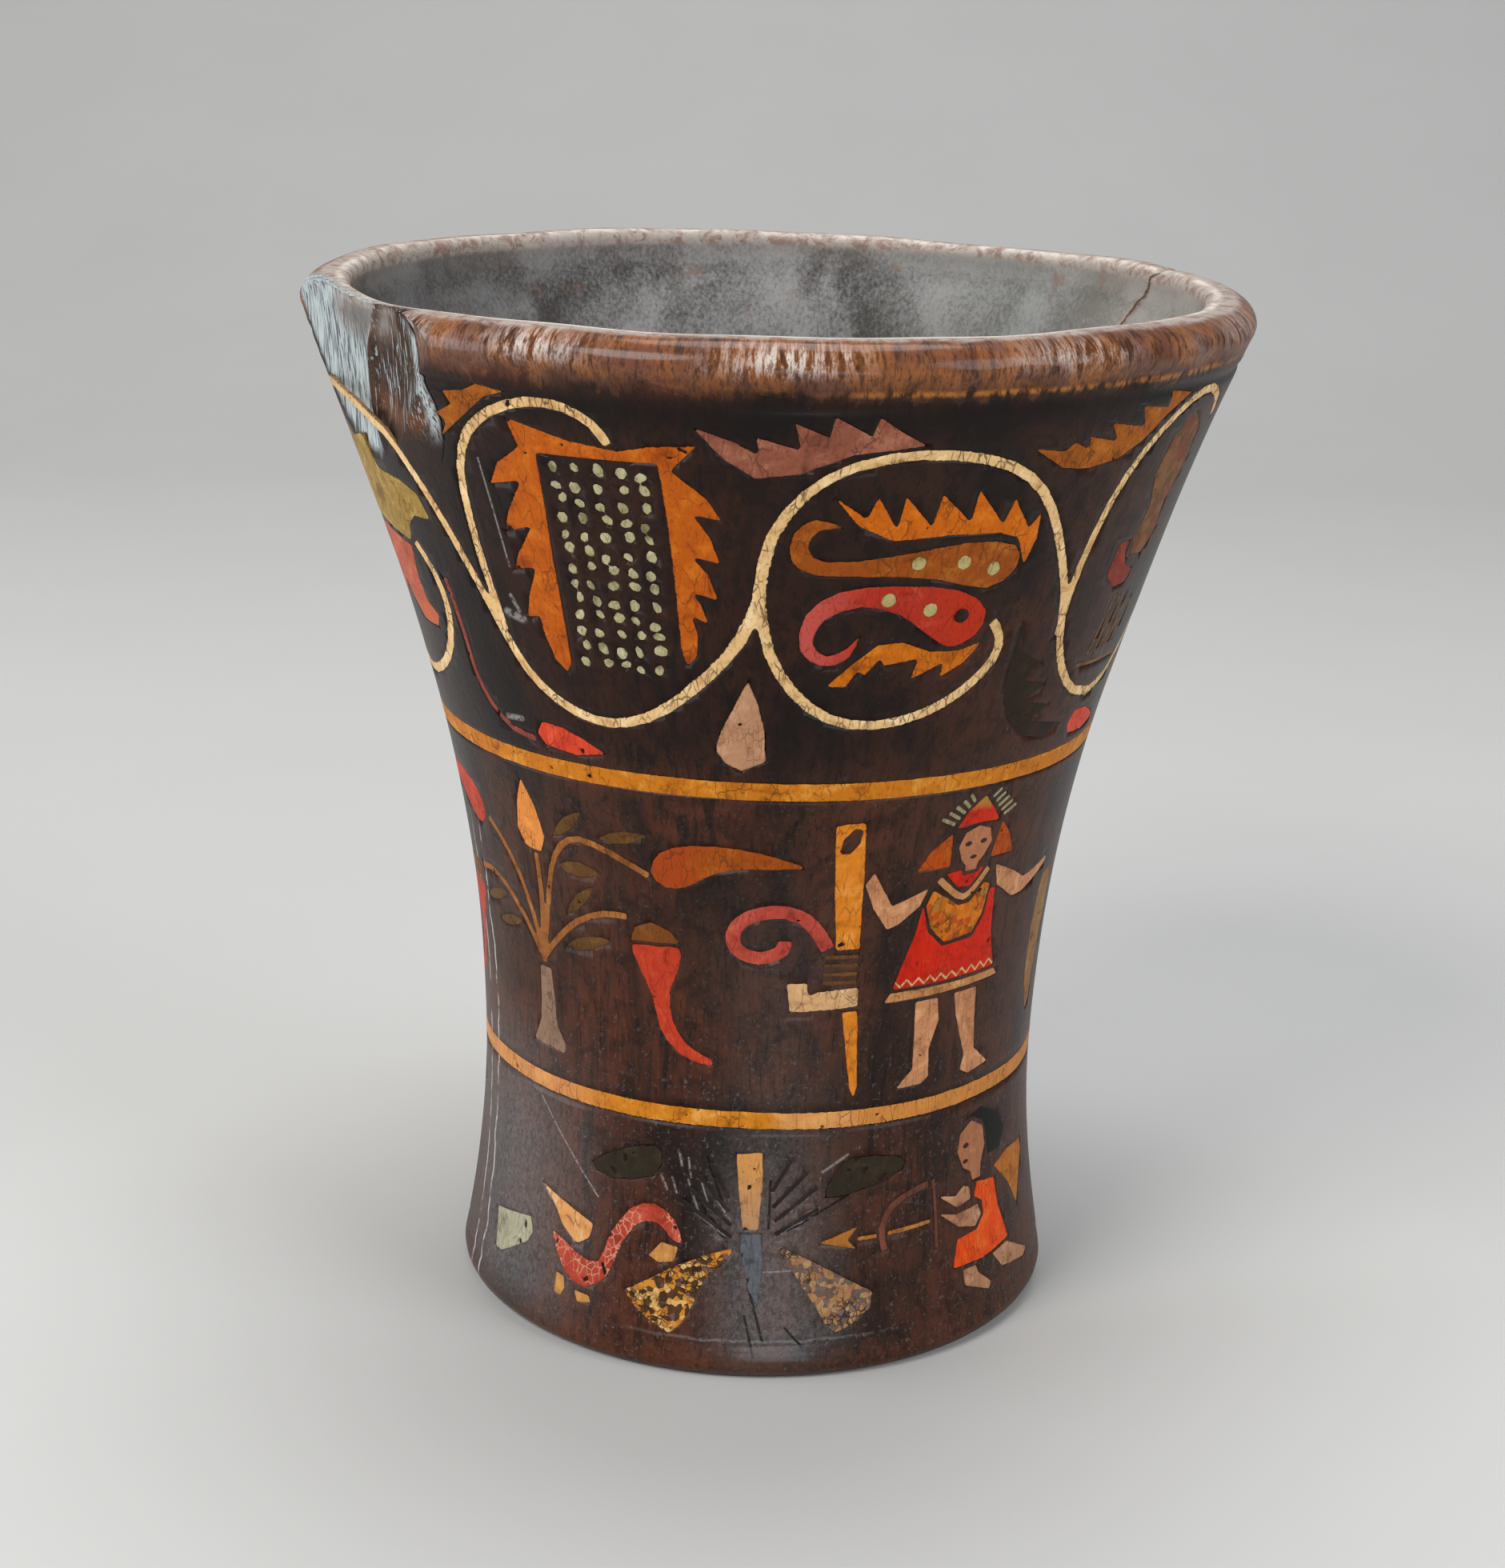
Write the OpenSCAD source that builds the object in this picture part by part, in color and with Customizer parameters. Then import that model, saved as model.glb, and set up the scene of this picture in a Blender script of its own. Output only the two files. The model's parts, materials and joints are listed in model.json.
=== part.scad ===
/* [Cup] */
// Overall height
cup_height = 190; // [182:1:212]
// Diameter of the foot where it meets the table
foot_d = 114; // [108:1:124]
// Diameter of the waist
waist_d = 104; // [96:1:107]
// Height of the waist
waist_height = 45; // [38:0.5:56]
// Diameter of the shoulder
shoulder_d = 122; // [116:1:130]
// Height of the shoulder, where the wall turns out to the mouth
shoulder_height = 113.8; // [106:0.1:122]
// Diameter of the mouth below the rounded lip
mouth_d = 170; // [162:1:180]
// Thickness of the wall
wall = 9; // [7:0.5:12]
// Thickness of the floor
floor_thick = 18; // [12:1:24]
// Radius of the hollow's floor corner
floor_round = 12; // [6:1:16]
// Radius of the lip's outer edge
lip_round = 5; // [3:0.5:6]
// Radius of the lip's inner edge
inner_lip_round = 2; // [1:0.5:2.5]
// Radius of the foot's edge
foot_round = 2; // [1:0.5:3]

/* [Split in the rim] */
// Direction of the split face, from the front towards the right
split_angle = -63; // [-70:1:-55]
// Thickness of wood left at the rim behind the split
split_edge = 1; // [0.5:0.1:3]
// Depth of the split below the rim
split_depth = 30; // [20:1:40]

/* [Inlay] */
// Depth of the inlaid pieces
inlay_depth = 1; // [0.6:0.1:2]
// Height of a border stripe
border_width = 3.2; // [2:0.1:3.6]
// Plain wood between the bands and the rounded edges of foot and lip
band_margin = 5; // [3:0.5:8]
// Height of the lower border's middle
lower_border_height = 48.5; // [45:0.1:53]
// Height of the upper border's middle
upper_border_height = 111.6; // [107:0.1:116]
// Width of the vine
vine_width = 1.7; // [1:0.1:2.2]
// Width of the plant's stems and the bud's stem
stem_width = 1.1; // [0.7:0.1:1.5]
// Width of thin rays, fringes and bindings
ray_width = 0.6; // [0.5:0.1:1.1]
// Rows of kernels in the panel
kernel_rows = 13; // [6:1:14]
// Columns of kernels in the panel
kernel_columns = 5; // [3:1:5]
// Width of a kernel across its corners
kernel_size = 2.1; // [1.2:0.1:2.3]
// Width of a pepper's seed
seed_size = 2.6; // [1.5:0.1:3]

/* [Hidden] */
// Straight facets in each quarter turn of a rounded edge
edge_steps = 4;
// Segments of a turned surface
$fn = 256;

// Wall: three arcs that meet with one tangent, from the foot, waist, shoulder and mouth
function sq(x) = x * x;
function arc_radius(rise, run) = (sq(rise) + sq(run)) / (2 * run);
foot_r = foot_d / 2;
waist_r = waist_d / 2;
shoulder_r = shoulder_d / 2;
mouth_r = mouth_d / 2;
mouth_height = cup_height - lip_round;
foot_arc = arc_radius(waist_height, foot_r - waist_r);
belly_arc = arc_radius(shoulder_height - waist_height, shoulder_r - waist_r);
lean = asin((shoulder_height - waist_height) / belly_arc);
flare_run = mouth_r - shoulder_r;
flare_rise = mouth_height - shoulder_height;
flare_arc = (sq(flare_run) + sq(flare_rise)) / (2 * (flare_run * cos(lean) - flare_rise * sin(lean)));
flare_centre = [shoulder_r + flare_arc * cos(lean), shoulder_height - flare_arc * sin(lean)];
function arc_r(centre, radius, z) = centre.x - sign(radius) * sqrt(sq(radius) - sq(z - centre.y));
function wall_r(z) =
  z < waist_height ? arc_r([waist_r + foot_arc, waist_height], foot_arc, z) :
  z < shoulder_height ? arc_r([waist_r + belly_arc, waist_height], belly_arc, z) :
  arc_r(flare_centre, flare_arc, z);
// Heights in the outlines are those of the cup as first drawn, and move with the borders
drawn_levels = [
  [7, foot_round + band_margin],
  [46.9, lower_border_height - border_width / 2],
  [50.1, lower_border_height + border_width / 2],
  [110, upper_border_height - border_width / 2],
  [113.2, upper_border_height + border_width / 2],
  [180, mouth_height - band_margin]
];
function level(z) = lookup(z, drawn_levels);
// The wall is turned in straight rings that keep their place among the outlines
drawn_rings = [21.2, 45, 68.3, 89.2, 113.8, 149.64];
ring_heights = concat([foot_round], [for (z = drawn_rings) level(z)], [mouth_height]);
rings = [for (z = ring_heights) [wall_r(z), z]];
function ring_r(z) = lookup(z, [for (p = rings) [p.y, p.x]]);
function arc_points(centre, radius, from, to) =
  [for (i = [0 : edge_steps]) centre + radius * [cos(from + (to - from) * i / edge_steps),
                                                  sin(from + (to - from) * i / edge_steps)]];
inner_mouth = [ring_r(mouth_height) - wall, mouth_height];
floor_corner = [ring_r(floor_thick + floor_round) - wall - floor_round, floor_thick + floor_round];
foot_edge = arc_points([ring_r(foot_round) - foot_round, foot_round], foot_round, -90, 0);
lip_edge = arc_points([mouth_r - lip_round, mouth_height], lip_round, 0, 90);
inner_lip_edge = arc_points([inner_mouth.x + inner_lip_round, cup_height - inner_lip_round],
                            inner_lip_round, 90, 180);
// Least height between the floor's corner and the first ring of the inner wall
least_rise = 1;
inner_wall = [for (i = [len(rings) - 1 : -1 : 0])
  if (rings[i].y > floor_corner.y + least_rise) [rings[i].x - wall, rings[i].y]];
floor_edge = arc_points(floor_corner, floor_round, 0, -90);
body_outline = concat([[0, 0]], foot_edge, rings, lip_edge, inner_lip_edge, inner_wall, floor_edge,
                      [[0, floor_thick]]);

// Outline points are [angle from the front, height]; a view is flat at its own angle
function on_view(points, view) = [for (p = points) [ring_r(level(p[1])) * sin(p[0] - view), level(p[1])]];
function middle(points) = (min([for (p = points) p[0]]) + max([for (p = points) p[0]])) / 2;
function spline(a, b, c, d, t) =
  (2 * b + (c - a) * t + (2 * a - 5 * b + 4 * c - d) * t * t + (3 * b - a - 3 * c + d) * t * t * t) / 2;
function rounded(p, n = 2) = let (m = len(p))
  [for (i = [0 : m - 1], j = [0 : n - 1])
    spline(p[(i + m - 1) % m], p[i], p[(i + 1) % m], p[(i + 2) % m], j / n)];
function flowing(p, n = 2) = let (m = len(p) - 1)
  concat([for (i = [0 : m - 1], j = [0 : n - 1])
    spline(p[max(i - 1, 0)], p[i], p[i + 1], p[min(i + 2, m)], j / n)], [p[m]]);
function along(p, i) = let (d = p[min(i + 1, len(p) - 1)] - p[max(i - 1, 0)]) d / norm(d);
function side(p, i, w) = p[i] + w / 2 * [-along(p, i).y, along(p, i).x];
function ribbon(p, w) = let (m = len(p) - 1)
  concat([for (i = [0 : m]) side(p, i, w)], [for (i = [m : -1 : 0]) side(p, i, -w)]);

// Prisms that run outwards from inside the wall, and what they leave of the skin
reach_in = 30;
reach_out = 70;
module outwards(view)
  rotate([0, 0, view]) rotate([90, 0, 0]) translate([0, 0, reach_in])
    linear_extrude(height = reach_out) children();
module cut(points) outwards(middle(points)) polygon(on_view(points, middle(points)));
module soft_cut(points) outwards(middle(points)) polygon(rounded(on_view(points, middle(points))));
module line_cut(points, w)
  outwards(middle(points)) polygon(ribbon(flowing(on_view(points, middle(points))), w));
// Half a leaf as [share of its length, share of half its width], and the whole leaf
leaf_edge = [[0, 0], [0.25, 0.8], [0.55, 1], [0.82, 0.6], [1, 0]];
leaf_shape = concat(leaf_edge, [for (i = [len(leaf_edge) - 2 : -1 : 1]) [leaf_edge[i].x, -leaf_edge[i].y]]);
module leaf_cut(from, to, w) {
  view = middle([from, to]);
  ends = on_view([from, to], view);
  run = ends[1] - ends[0];
  across = [-run.y, run.x] / norm(run) * w / 2;
  outwards(view) polygon([for (p = leaf_shape) ends[0] + run * p.x + across * p.y]);
}
// A pocket runs out past the wall, and the piece in it ends flush
$proud = 0;
pocket_reach = 2;
module skin(low, high) rotate_extrude() difference() {
  intersection() {
    polygon(concat([[0, rings[0].y]], [for (p = rings) [p.x + $proud, p.y]], [[0, mouth_height]]));
    translate([0, low]) square([mouth_d, high - low]);
  }
  polygon(concat([[0, rings[0].y]], [for (p = rings) [p.x - inlay_depth, p.y]], [[0, mouth_height]]));
}
// Each child is set into the wall at the front and once more behind
module inlay(low, high)
  for (turn = [0, 180], i = [0 : $children - 1])
    rotate([0, 0, turn]) intersection() {
      skin(low, high);
      children(i);
    }
// Wood lost from the rim at a flat split
split_reach = inner_mouth.x + inner_lip_round + split_edge;
split_exit = cup_height - split_depth;
split_tilt = atan((split_reach - ring_r(split_exit)) / split_depth);
module split_face()
  rotate([0, 0, split_angle]) translate([0, -split_reach, cup_height]) rotate([-split_tilt, 0, 0])
    translate([-mouth_r, -mouth_r, -2 * split_depth]) cube([mouth_d, mouth_r, 3 * split_depth]);
module upper_inlay() difference() {
  for (i = [0 : $children - 1]) inlay(upper_border_height, mouth_height) children(i);
  split_face();
}
module middle_inlay()
  for (i = [0 : $children - 1]) inlay(lower_border_height, upper_border_height) children(i);
module lower_inlay() for (i = [0 : $children - 1]) inlay(foot_round, lower_border_height) children(i);
module stripe(middle_height)
  skin(middle_height - border_width / 2, middle_height + border_width / 2);

// Outlines of the upper band
vine_under_panel = [[-64, 171], [-56.5, 167.3], [-52, 161], [-48, 153], [-44.2, 143.5], [-41, 135.3],
  [-38, 129.4], [-33.5, 125], [-27, 122.2], [-21, 122.7], [-15, 126], [-8.5, 132.6], [-4, 139.5],
  [-1.4, 147]];
vine_over_panel = [[-19, 171.8], [-20.6, 175], [-24, 177.4], [-28.5, 177.6], [-33.5, 175.4], [-38.2, 171],
  [-41.2, 164.5], [-42.2, 156], [-41.9, 146.5], [-40.8, 136]];
vine_over_peppers = [[-1.5, 142], [-1, 150], [0.3, 158], [4, 165.3], [9.5, 170], [17, 171.8], [25, 170.6],
  [31.5, 167], [36.5, 160.6], [41, 151.5], [44.2, 143.5], [46.2, 136], [49.5, 129.5], [55, 124.6],
  [62, 122.9]];
vine_round_peppers = [[-1, 145], [0.2, 137.5], [3.6, 130.5], [9, 125.5], [16, 124], [23.5, 125.7],
  [29.5, 129.5], [33.4, 134.5], [33.5, 138.6], [31.6, 141.6]];
vine_over_tuft = [[45.6, 137], [45.2, 144], [46.2, 155], [48.5, 165], [52.5, 172], [58, 176.6],
  [63.5, 177.4], [68, 174.8], [69.6, 171.6]];
vine_over_flower = [[61, 122.9], [68, 124.4], [74, 129], [79, 136], [82, 144.5], [83.6, 153], [87, 162],
  [93, 168.4], [102, 171.6], [110, 172], [117, 170.6]];
vine_round_flower = [[-98, 146], [-97, 139], [-92.5, 130.5], [-85.5, 124.2], [-77, 121.2], [-70, 121.4],
  [-62.5, 124.5], [-57, 129.5], [-54.3, 136.5], [-55.4, 143], [-58.6, 147.4]];
frame_outline = [[-31.8, 174.6], [-24, 171.8], [-18, 170.8], [-14, 172], [-8.7, 172.6], [-11.8, 168.2],
  [-10, 166.2], [-7.8, 163.9], [-6.1, 160.3], [-9.6, 161], [-7.6, 157.4], [-6.4, 152.8], [-10, 153.8],
  [-8, 150.8], [-6.8, 146.4], [-10.3, 147.6], [-9, 145.2], [-8.2, 142.2], [-10.4, 143.3], [-9.6, 139.8],
  [-9.9, 136.2], [-11.3, 134.2], [-12, 137], [-12.6, 158], [-13.2, 169.3], [-28.6, 169.1], [-29.3, 150.2],
  [-29.4, 132], [-30.3, 130.4], [-32, 132.4], [-33.1, 136.6], [-33.3, 140], [-35.5, 139.3], [-34.6, 143],
  [-32.3, 148.7], [-36, 147.7], [-34.8, 150.6], [-31.5, 156.1], [-36.1, 154.3], [-34.9, 157.8],
  [-31.6, 163.9], [-36.6, 162.5], [-34.6, 166.4], [-30.8, 169.8]];
crest_leaf_outline = [[-8.8, 175.8], [-5.5, 170.8], [-2, 167.7], [3, 168.7], [9, 172], [17, 173.3],
  [14, 175.6], [11.3, 178.2], [10.6, 175], [6.4, 178.3], [6, 174.8], [2.2, 177.1], [3, 172.6],
  [-1.9, 174.6], [-1.6, 171.5], [-4.4, 173.7]];
side_leaf_outline = [[31, 171.8], [36, 168], [40, 167.4], [45, 168.4], [49, 171.2], [52, 174.8],
  [56.5, 178], [51.5, 179], [51.6, 176.2], [46.2, 177.2], [48, 173.5], [41.7, 174.9], [43.8, 171.5],
  [38.8, 173], [39.4, 170.6], [36.7, 172.3], [35.6, 170.9]];
corner_leaf_outline = [[-43, 169.4], [-38.4, 173.4], [-34, 177.6], [-31, 178.8], [-35, 179.6], [-37, 178.2],
  [-40.5, 177.5], [-39.6, 175.4], [-42.6, 173.5], [-41.4, 172]];
crown_leaf_outline = [[7.3, 164.7], [10.5, 159.8], [15, 157.2], [22, 157.8], [29, 157.7], [32.2, 156.4],
  [34.3, 151.5], [35.2, 156], [34.7, 160.4], [33.4, 157.8], [30.2, 163.4], [29.3, 159], [24.9, 165.3],
  [24.6, 159.8], [20.2, 165], [19.6, 159.2], [15.7, 164.8], [15.2, 159], [12.4, 164.7], [11.3, 161]];
orange_pepper_outline = [[8.7, 159.5], [5.3, 161], [2.7, 158.5], [2.6, 153.8], [6, 151.3], [15, 151],
  [22, 150], [29.3, 147.8], [33.2, 151], [32, 155.2], [25, 156.3], [15, 154.5], [7, 153.6], [4.5, 156],
  [5.8, 159.2]];
red_pepper_outline = [[12.2, 140.4], [11, 136.4], [7.6, 135.1], [4.3, 138], [4.8, 144.3], [9, 148.4],
  [16, 149.3], [25, 148], [30, 144], [29.2, 139.4], [25.5, 137.7], [22, 140], [17.5, 144], [12, 145.7],
  [7.3, 143.4], [6, 139.2], [8, 136.9], [10.8, 138.4]];
under_leaf_outline = [[8.4, 131.4], [11, 131.2], [12.6, 134.2], [13.6, 133.3], [15.6, 136.4], [16.3, 135],
  [21.2, 136], [20.5, 132.3], [25.2, 135], [25, 132.3], [28.4, 134.6], [30.5, 138], [27, 136.9], [23, 137],
  [18.5, 139], [15, 138.8], [12, 135.6]];
orange_seeds = [[18.7, 153.1], [25, 152.8], [29.6, 151.3]];
red_seeds = [[15.5, 146.8], [21.5, 144.7]];
lost_seed = [26.4, 143.2];
drop_outline = [[-2.7, 132.2], [-1.2, 127.6], [-0.1, 122.4], [0, 117.2], [-1.7, 116.4], [-3.6, 115.4],
  [-6, 116.6], [-7.6, 119], [-6.9, 122.2], [-4.6, 127.6]];
bud_outline = [[-25.8, 115.9], [-29.4, 118], [-33.4, 119.6], [-37.2, 119.8], [-38.6, 117.6], [-37.2, 115.4],
  [-31, 114.8]];
bud_stem_line = [[-52.3, 142.5], [-51.2, 133], [-50.8, 126], [-48.6, 120.7], [-44.5, 117.2],
  [-39.4, 116.2]];
calyx_half = [[-72, 148.8], [-60, 147.4], [-58.4, 150.8], [-56, 152.7], [-51.9, 153], [-53.3, 157.2],
  [-57, 158.8], [-63.6, 159.4], [-66.3, 164.8], [-72, 163.2]];
petals_half = [[-72, 147.8], [-60.4, 146.4], [-62, 140], [-61.2, 136], [-58.2, 134.2], [-60, 131.8],
  [-66, 131.6], [-72, 137.5]];
dark_leaf_outline = [[37.4, 141], [38.8, 134.8], [43.8, 132], [40.6, 129.4], [46.4, 127.6], [42, 125.2],
  [48.8, 123.2], [44.8, 121], [54.6, 118.4], [50, 116.8], [43.8, 118.4], [39.4, 122.6], [37, 129]];
tuft_curl_outline = [[53.8, 151.6], [56.4, 152], [56.1, 150], [58, 147], [61.2, 145.6], [60.4, 143.4],
  [56.6, 143.2], [53.2, 146.2]];
tuft_plume_outline = [[58.4, 148.6], [57.2, 152.4], [58.6, 157], [56, 163.5], [57, 170.4], [61, 174],
  [65, 170.4], [66, 163.5], [63.4, 157], [64.6, 152], [62.4, 148.4]];
fringe_lines = [for (i = [0 : 4]) [[56 + 2.2 * i, 131], [59 + 2 * i, 141.4 - 0.7 * i]]];
fringe_base = [[53.5, 129.4], [61, 128.8], [69.5, 128.4]];

// Outlines of the middle band
trunk_outline = [[-50.2, 55.8], [-47.8, 60.5], [-47.3, 71], [-44.2, 71], [-43.2, 60], [-40.9, 57],
  [-41.2, 55.2]];
stem_lines = [
  [[-45.8, 71.8], [-45.7, 78], [-45, 86], [-45.1, 93]],
  [[-45.5, 73], [-43.8, 82], [-41.3, 91], [-38, 96.2], [-33.5, 98.4], [-27, 97], [-20.2, 93.9]],
  [[-46, 72.6], [-42, 77], [-36.5, 81.8], [-30, 84.8], [-25, 85.2]],
  [[-46, 73], [-48.2, 80.5], [-51.5, 88], [-56, 93.2], [-60, 95.8]],
  [[-46, 72.6], [-51, 79.2], [-57, 83.8], [-63, 85.2], [-67.6, 84.4]]
];
plant_bud_outline = [[-45.7, 107.2], [-43.3, 102.4], [-42, 96.8], [-43.6, 93.6], [-47.6, 93.8], [-49.4, 97],
  [-48, 102.6]];
plant_leaf_tips = [[[-39.6, 97.8], [-32.3, 103.8], 2.2], [[-29.2, 99.4], [-20, 101.4], 2.2], [[-39.2, 92.2],
  [-30, 92.5], 2.8], [[-38.6, 83], [-31.7, 89.6], 2], [[-39.4, 76.6], [-29, 79.8], 2.4], [[-66.5, 79],
  [-57, 82], 2], [[-61, 76], [-52, 78], 2]];
orange_chilli_outline = [[7.2, 97.1], [-2, 96.9], [-8, 95.6], [-13, 92.7], [-17, 92.1], [-19.5, 94.8],
  [-17.6, 98.6], [-12, 100.6], [-4, 100.6], [3, 99]];
red_chilli_outline = [[-24.1, 80], [-19, 80.4], [-14.8, 80.6], [-15, 77], [-16.9, 72], [-16.4, 66.4],
  [-13.4, 62], [-8.8, 59.7], [-9.4, 58.5], [-15, 60.2], [-19, 64.6], [-20.4, 70.6], [-23.2, 76.6]];
chilli_cap_outline = [[-24.4, 80.9], [-23.4, 83.6], [-20.2, 85], [-16.6, 83.8], [-14.7, 81.5]];
staff_outline = [[12, 105.2], [17, 105.6], [17.8, 95], [18.3, 81.3], [13.9, 81.3], [12.9, 92]];
staff_hole = [[12.9, 99.9], [13.6, 102.6], [15.4, 104.6], [16.8, 104.2], [16.4, 101.6], [14.8, 99.6]];
blade_outline = [[15.9, 69.2], [18.9, 69.4], [19.8, 55], [19.2, 52.3], [18.3, 54.5]];
binding_line = [[11.8, 75.1], [18.2, 74.9]];
binding_rows = 4;
binding_rise = 1.65;
hand_outline = [[5.2, 75], [8.9, 75.2], [9.2, 72.7], [11.1, 73.4], [18.7, 73.9], [18.8, 70.2], [6, 69.6]];
curl_line = [[12.2, 81.6], [10.4, 84.7], [7.9, 87.4], [4.4, 88.8], [0.2, 88.5], [-3.2, 86.9], [-4.9, 84.2],
  [-4.2, 81.5], [-1.6, 80.1], [1.4, 80.1], [4, 81.5], [4.4, 83.3]];
curl_width = 2.5;
head_outline = [[39.8, 102], [42.6, 101], [43.6, 98.4], [42.4, 95.8], [41.2, 94.6], [41.1, 93.4],
  [38.5, 93.4], [38.4, 94.6], [37.2, 95.8], [36, 98.4], [37, 101]];
cap_outline = [[39.6, 107.8], [42, 105.2], [44.2, 102.4], [39.8, 102.7], [34.8, 102.3], [36.6, 105.2]];
feather_left = [for (i = [0 : 4]) [[34 + 0.85 * i, 103.2 + 0.95 * i], [31.2 + 1.25 * i, 104.6 + 1.0 * i]]];
feather_right = [for (i = [0 : 4]) [[45.2 - 0.95 * i, 103.2 + 1.0 * i], [47.8 - 1.2 * i, 104.6 + 1.0 * i]]];
hair_left = [[34, 101.4], [34.6, 95], [27.9, 95.1], [30, 98.6]];
hair_right = [[45.4, 101.8], [44.4, 95.1], [50.2, 95], [48.4, 98.6]];
yoke_outline = [[34.2, 93.7], [37.6, 93.8], [38, 92.7], [41.6, 92.7], [42.2, 93.7], [43, 93.2],
  [40.4, 90.4], [37.4, 90.6]];
collar_width = 1.15;
collar_line = [[32.9, 92.8], [36.2, 90], [39.2, 88.4], [42, 90.2], [44.4, 93]];
chest_outline = [[32, 90.8], [35.6, 88.6], [38.2, 86.9], [41, 87], [44, 90.2], [45.6, 89.6], [44.9, 84],
  [42.8, 80.8], [36, 80.3], [32.6, 83.4], [30.9, 88]];
skirt_outline = [[30.2, 88], [29.4, 83], [25.9, 72.7], [51, 72.5], [48.6, 80], [47.4, 88.4], [46.2, 88.6],
  [45.5, 83.6], [43.1, 79.9], [35.7, 79.5], [32, 82.8]];
hem_outline = [[25.5, 71.9], [51.4, 71.7], [52.6, 70.4], [24.3, 70.2]];
left_arm = [[18.3, 93.6], [19.7, 95.7], [22.4, 91.2], [23.7, 88.9], [30.6, 91.4], [29.4, 88.4],
  [25.5, 85.3], [23.3, 84.6], [20.3, 88.8]];
right_arm = [[46.4, 93.2], [52, 90.8], [56.4, 88.4], [65.8, 90], [65.6, 88.8], [57, 85.5], [53.6, 85.3],
  [48, 88.9]];
left_leg = [[31.2, 69.4], [36.3, 69.4], [37, 65], [35.2, 59.5], [35.6, 54.4], [34, 53.2], [28.2, 53],
  [31.8, 56.4]];
right_leg = [[40.6, 69.4], [46.5, 69.4], [47.8, 57], [52.7, 53.2], [46.5, 52.4], [44.2, 53.6], [45, 56.4],
  [41.6, 65]];
paddle_outline = [[66.3, 86.2], [73, 86.2], [73.6, 72], [72.4, 60], [70.4, 58], [67, 65], [65.7, 75]];

// Outlines of the lower band
tail_outline = [[-62, 18.5], [-49.5, 21], [-48.3, 18.3], [-50, 15.8], [-58, 11.2], [-60.4, 11]];
creature_outline = [[-42.6, 20.6], [-36, 18.3], [-30.8, 17.8], [-28.6, 23.6], [-24.4, 29.4], [-19.6, 31.1],
  [-15.4, 28.6], [-13.7, 24.6], [-15.6, 25], [-19, 27.8], [-23.4, 26.4], [-26.6, 20.8], [-28.6, 15.8],
  [-33.5, 12.4], [-38.6, 14.4]];
beak_outline = [[-20, 21.4], [-17.6, 24.2], [-14.4, 23.6], [-15, 21], [-18, 20.4]];
foot_outlines = [[[-40.4, 13.4], [-38.6, 13], [-38, 11], [-38.8, 9.4], [-40.4, 9.8]], [[-35.6, 11.3],
  [-32.2, 11.1], [-31.6, 10], [-34.6, 9.4]]];
wing_outline = [[-46.8, 28.7], [-37, 26], [-32.6, 24.6], [-33.4, 21.6], [-36.4, 19.9], [-40, 22.2],
  [-43, 25.8]];
insect_outline = [[-3.4, 42], [1.7, 42.4], [1.8, 36], [1.2, 27.8], [-1.8, 27.8], [-2.9, 36]];
insect_tail_outline = [[-2.2, 27.1], [1.8, 27.1], [2.2, 21], [1.4, 13.7], [-0.2, 16.5], [-2.2, 24]];
left_wing = [[-3.5, 24.4], [-4.8, 21.8], [-8.9, 18.2], [-10.8, 13.6], [-12.8, 9.8], [-15, 7.8], [-18.6, 9.4],
  [-22.6, 11.8], [-24.5, 14.2], [-20.4, 16.6], [-14.6, 20.2], [-9, 22.8]];
right_wing = [[5, 24.8], [9.4, 23], [14, 20.6], [19.4, 17.6], [24, 15], [23.4, 12], [20.4, 9.8], [16.4, 8.3],
  [14.2, 10.4], [11, 15.8], [6.6, 22]];
left_rays = [[[-4, 26.4], [-13.5, 32.4]], [[-4.2, 28.6], [-12.4, 35]], [[-4.6, 31], [-10.6, 37.6]],
  [[-4.8, 33.6], [-8.4, 40]]];
right_rays = [[[4.6, 27], [13, 31.6]], [[4.4, 29.4], [12.6, 35.6]], [[4, 32], [10.6, 38.6]], [[3.8, 35],
  [7.4, 41]]];
clouds = [[[-33.6, 36.4], [-26, 40.6], [-20, 42], [-18.4, 40], [-20, 36.4], [-29, 34.2]], [[14.4, 33.6],
  [22, 34.6], [30.6, 37.2], [29.6, 39.8], [20, 41], [16.4, 38.4]], [[84, 34.4], [91, 35], [100, 37.4],
  [98, 40.6], [89, 41.4], [85.4, 38.8]]];
face_lines = [[[37.2, 98.8], [38.9, 98.8], 1], [[40.7, 98.8], [42.4, 98.8], 1], [[38.9, 96],
  [40.8, 96], 0.8]];
archer_face_lines = [[[46.2, 37.9], [48.4, 37.9], 1.1], [[46.2, 34.9], [48.2, 34.8], 0.8]];
archer_head_outline = [[48.8, 42.4], [45.6, 40.6], [44.8, 37.2], [46.6, 33.8], [49, 32.4], [49.4, 30.6],
  [52, 30.6], [52.2, 33.4], [53.6, 36.4], [52.6, 40.4]];
archer_hair_outline = [[47.4, 43.4], [52, 44.2], [58, 41.6], [61, 37], [59.4, 34], [55, 34.2], [54.6, 37.2],
  [53.2, 41.2], [49.6, 43]];
tunic_outline = [[51, 29.8], [57, 28.8], [58.4, 23], [61.8, 15.5], [52, 14.7], [43.2, 15.2], [44.8, 20.4],
  [50.6, 20.6], [53, 23], [52.6, 25.8], [50, 27.2]];
upper_arm = [[40, 29.8], [44.6, 26.6], [48.6, 27.2], [48.4, 29.6], [46.6, 30.2], [44.4, 28.8]];
lower_arm = [[40, 26.4], [45, 22.8], [50, 21.4], [52, 23.2], [51, 25.4], [44.4, 25.2]];
front_leg = [[45.7, 14.1], [49.5, 14], [50.2, 12.3], [54, 9.4], [53.2, 8.2], [46, 11.2]];
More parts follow.
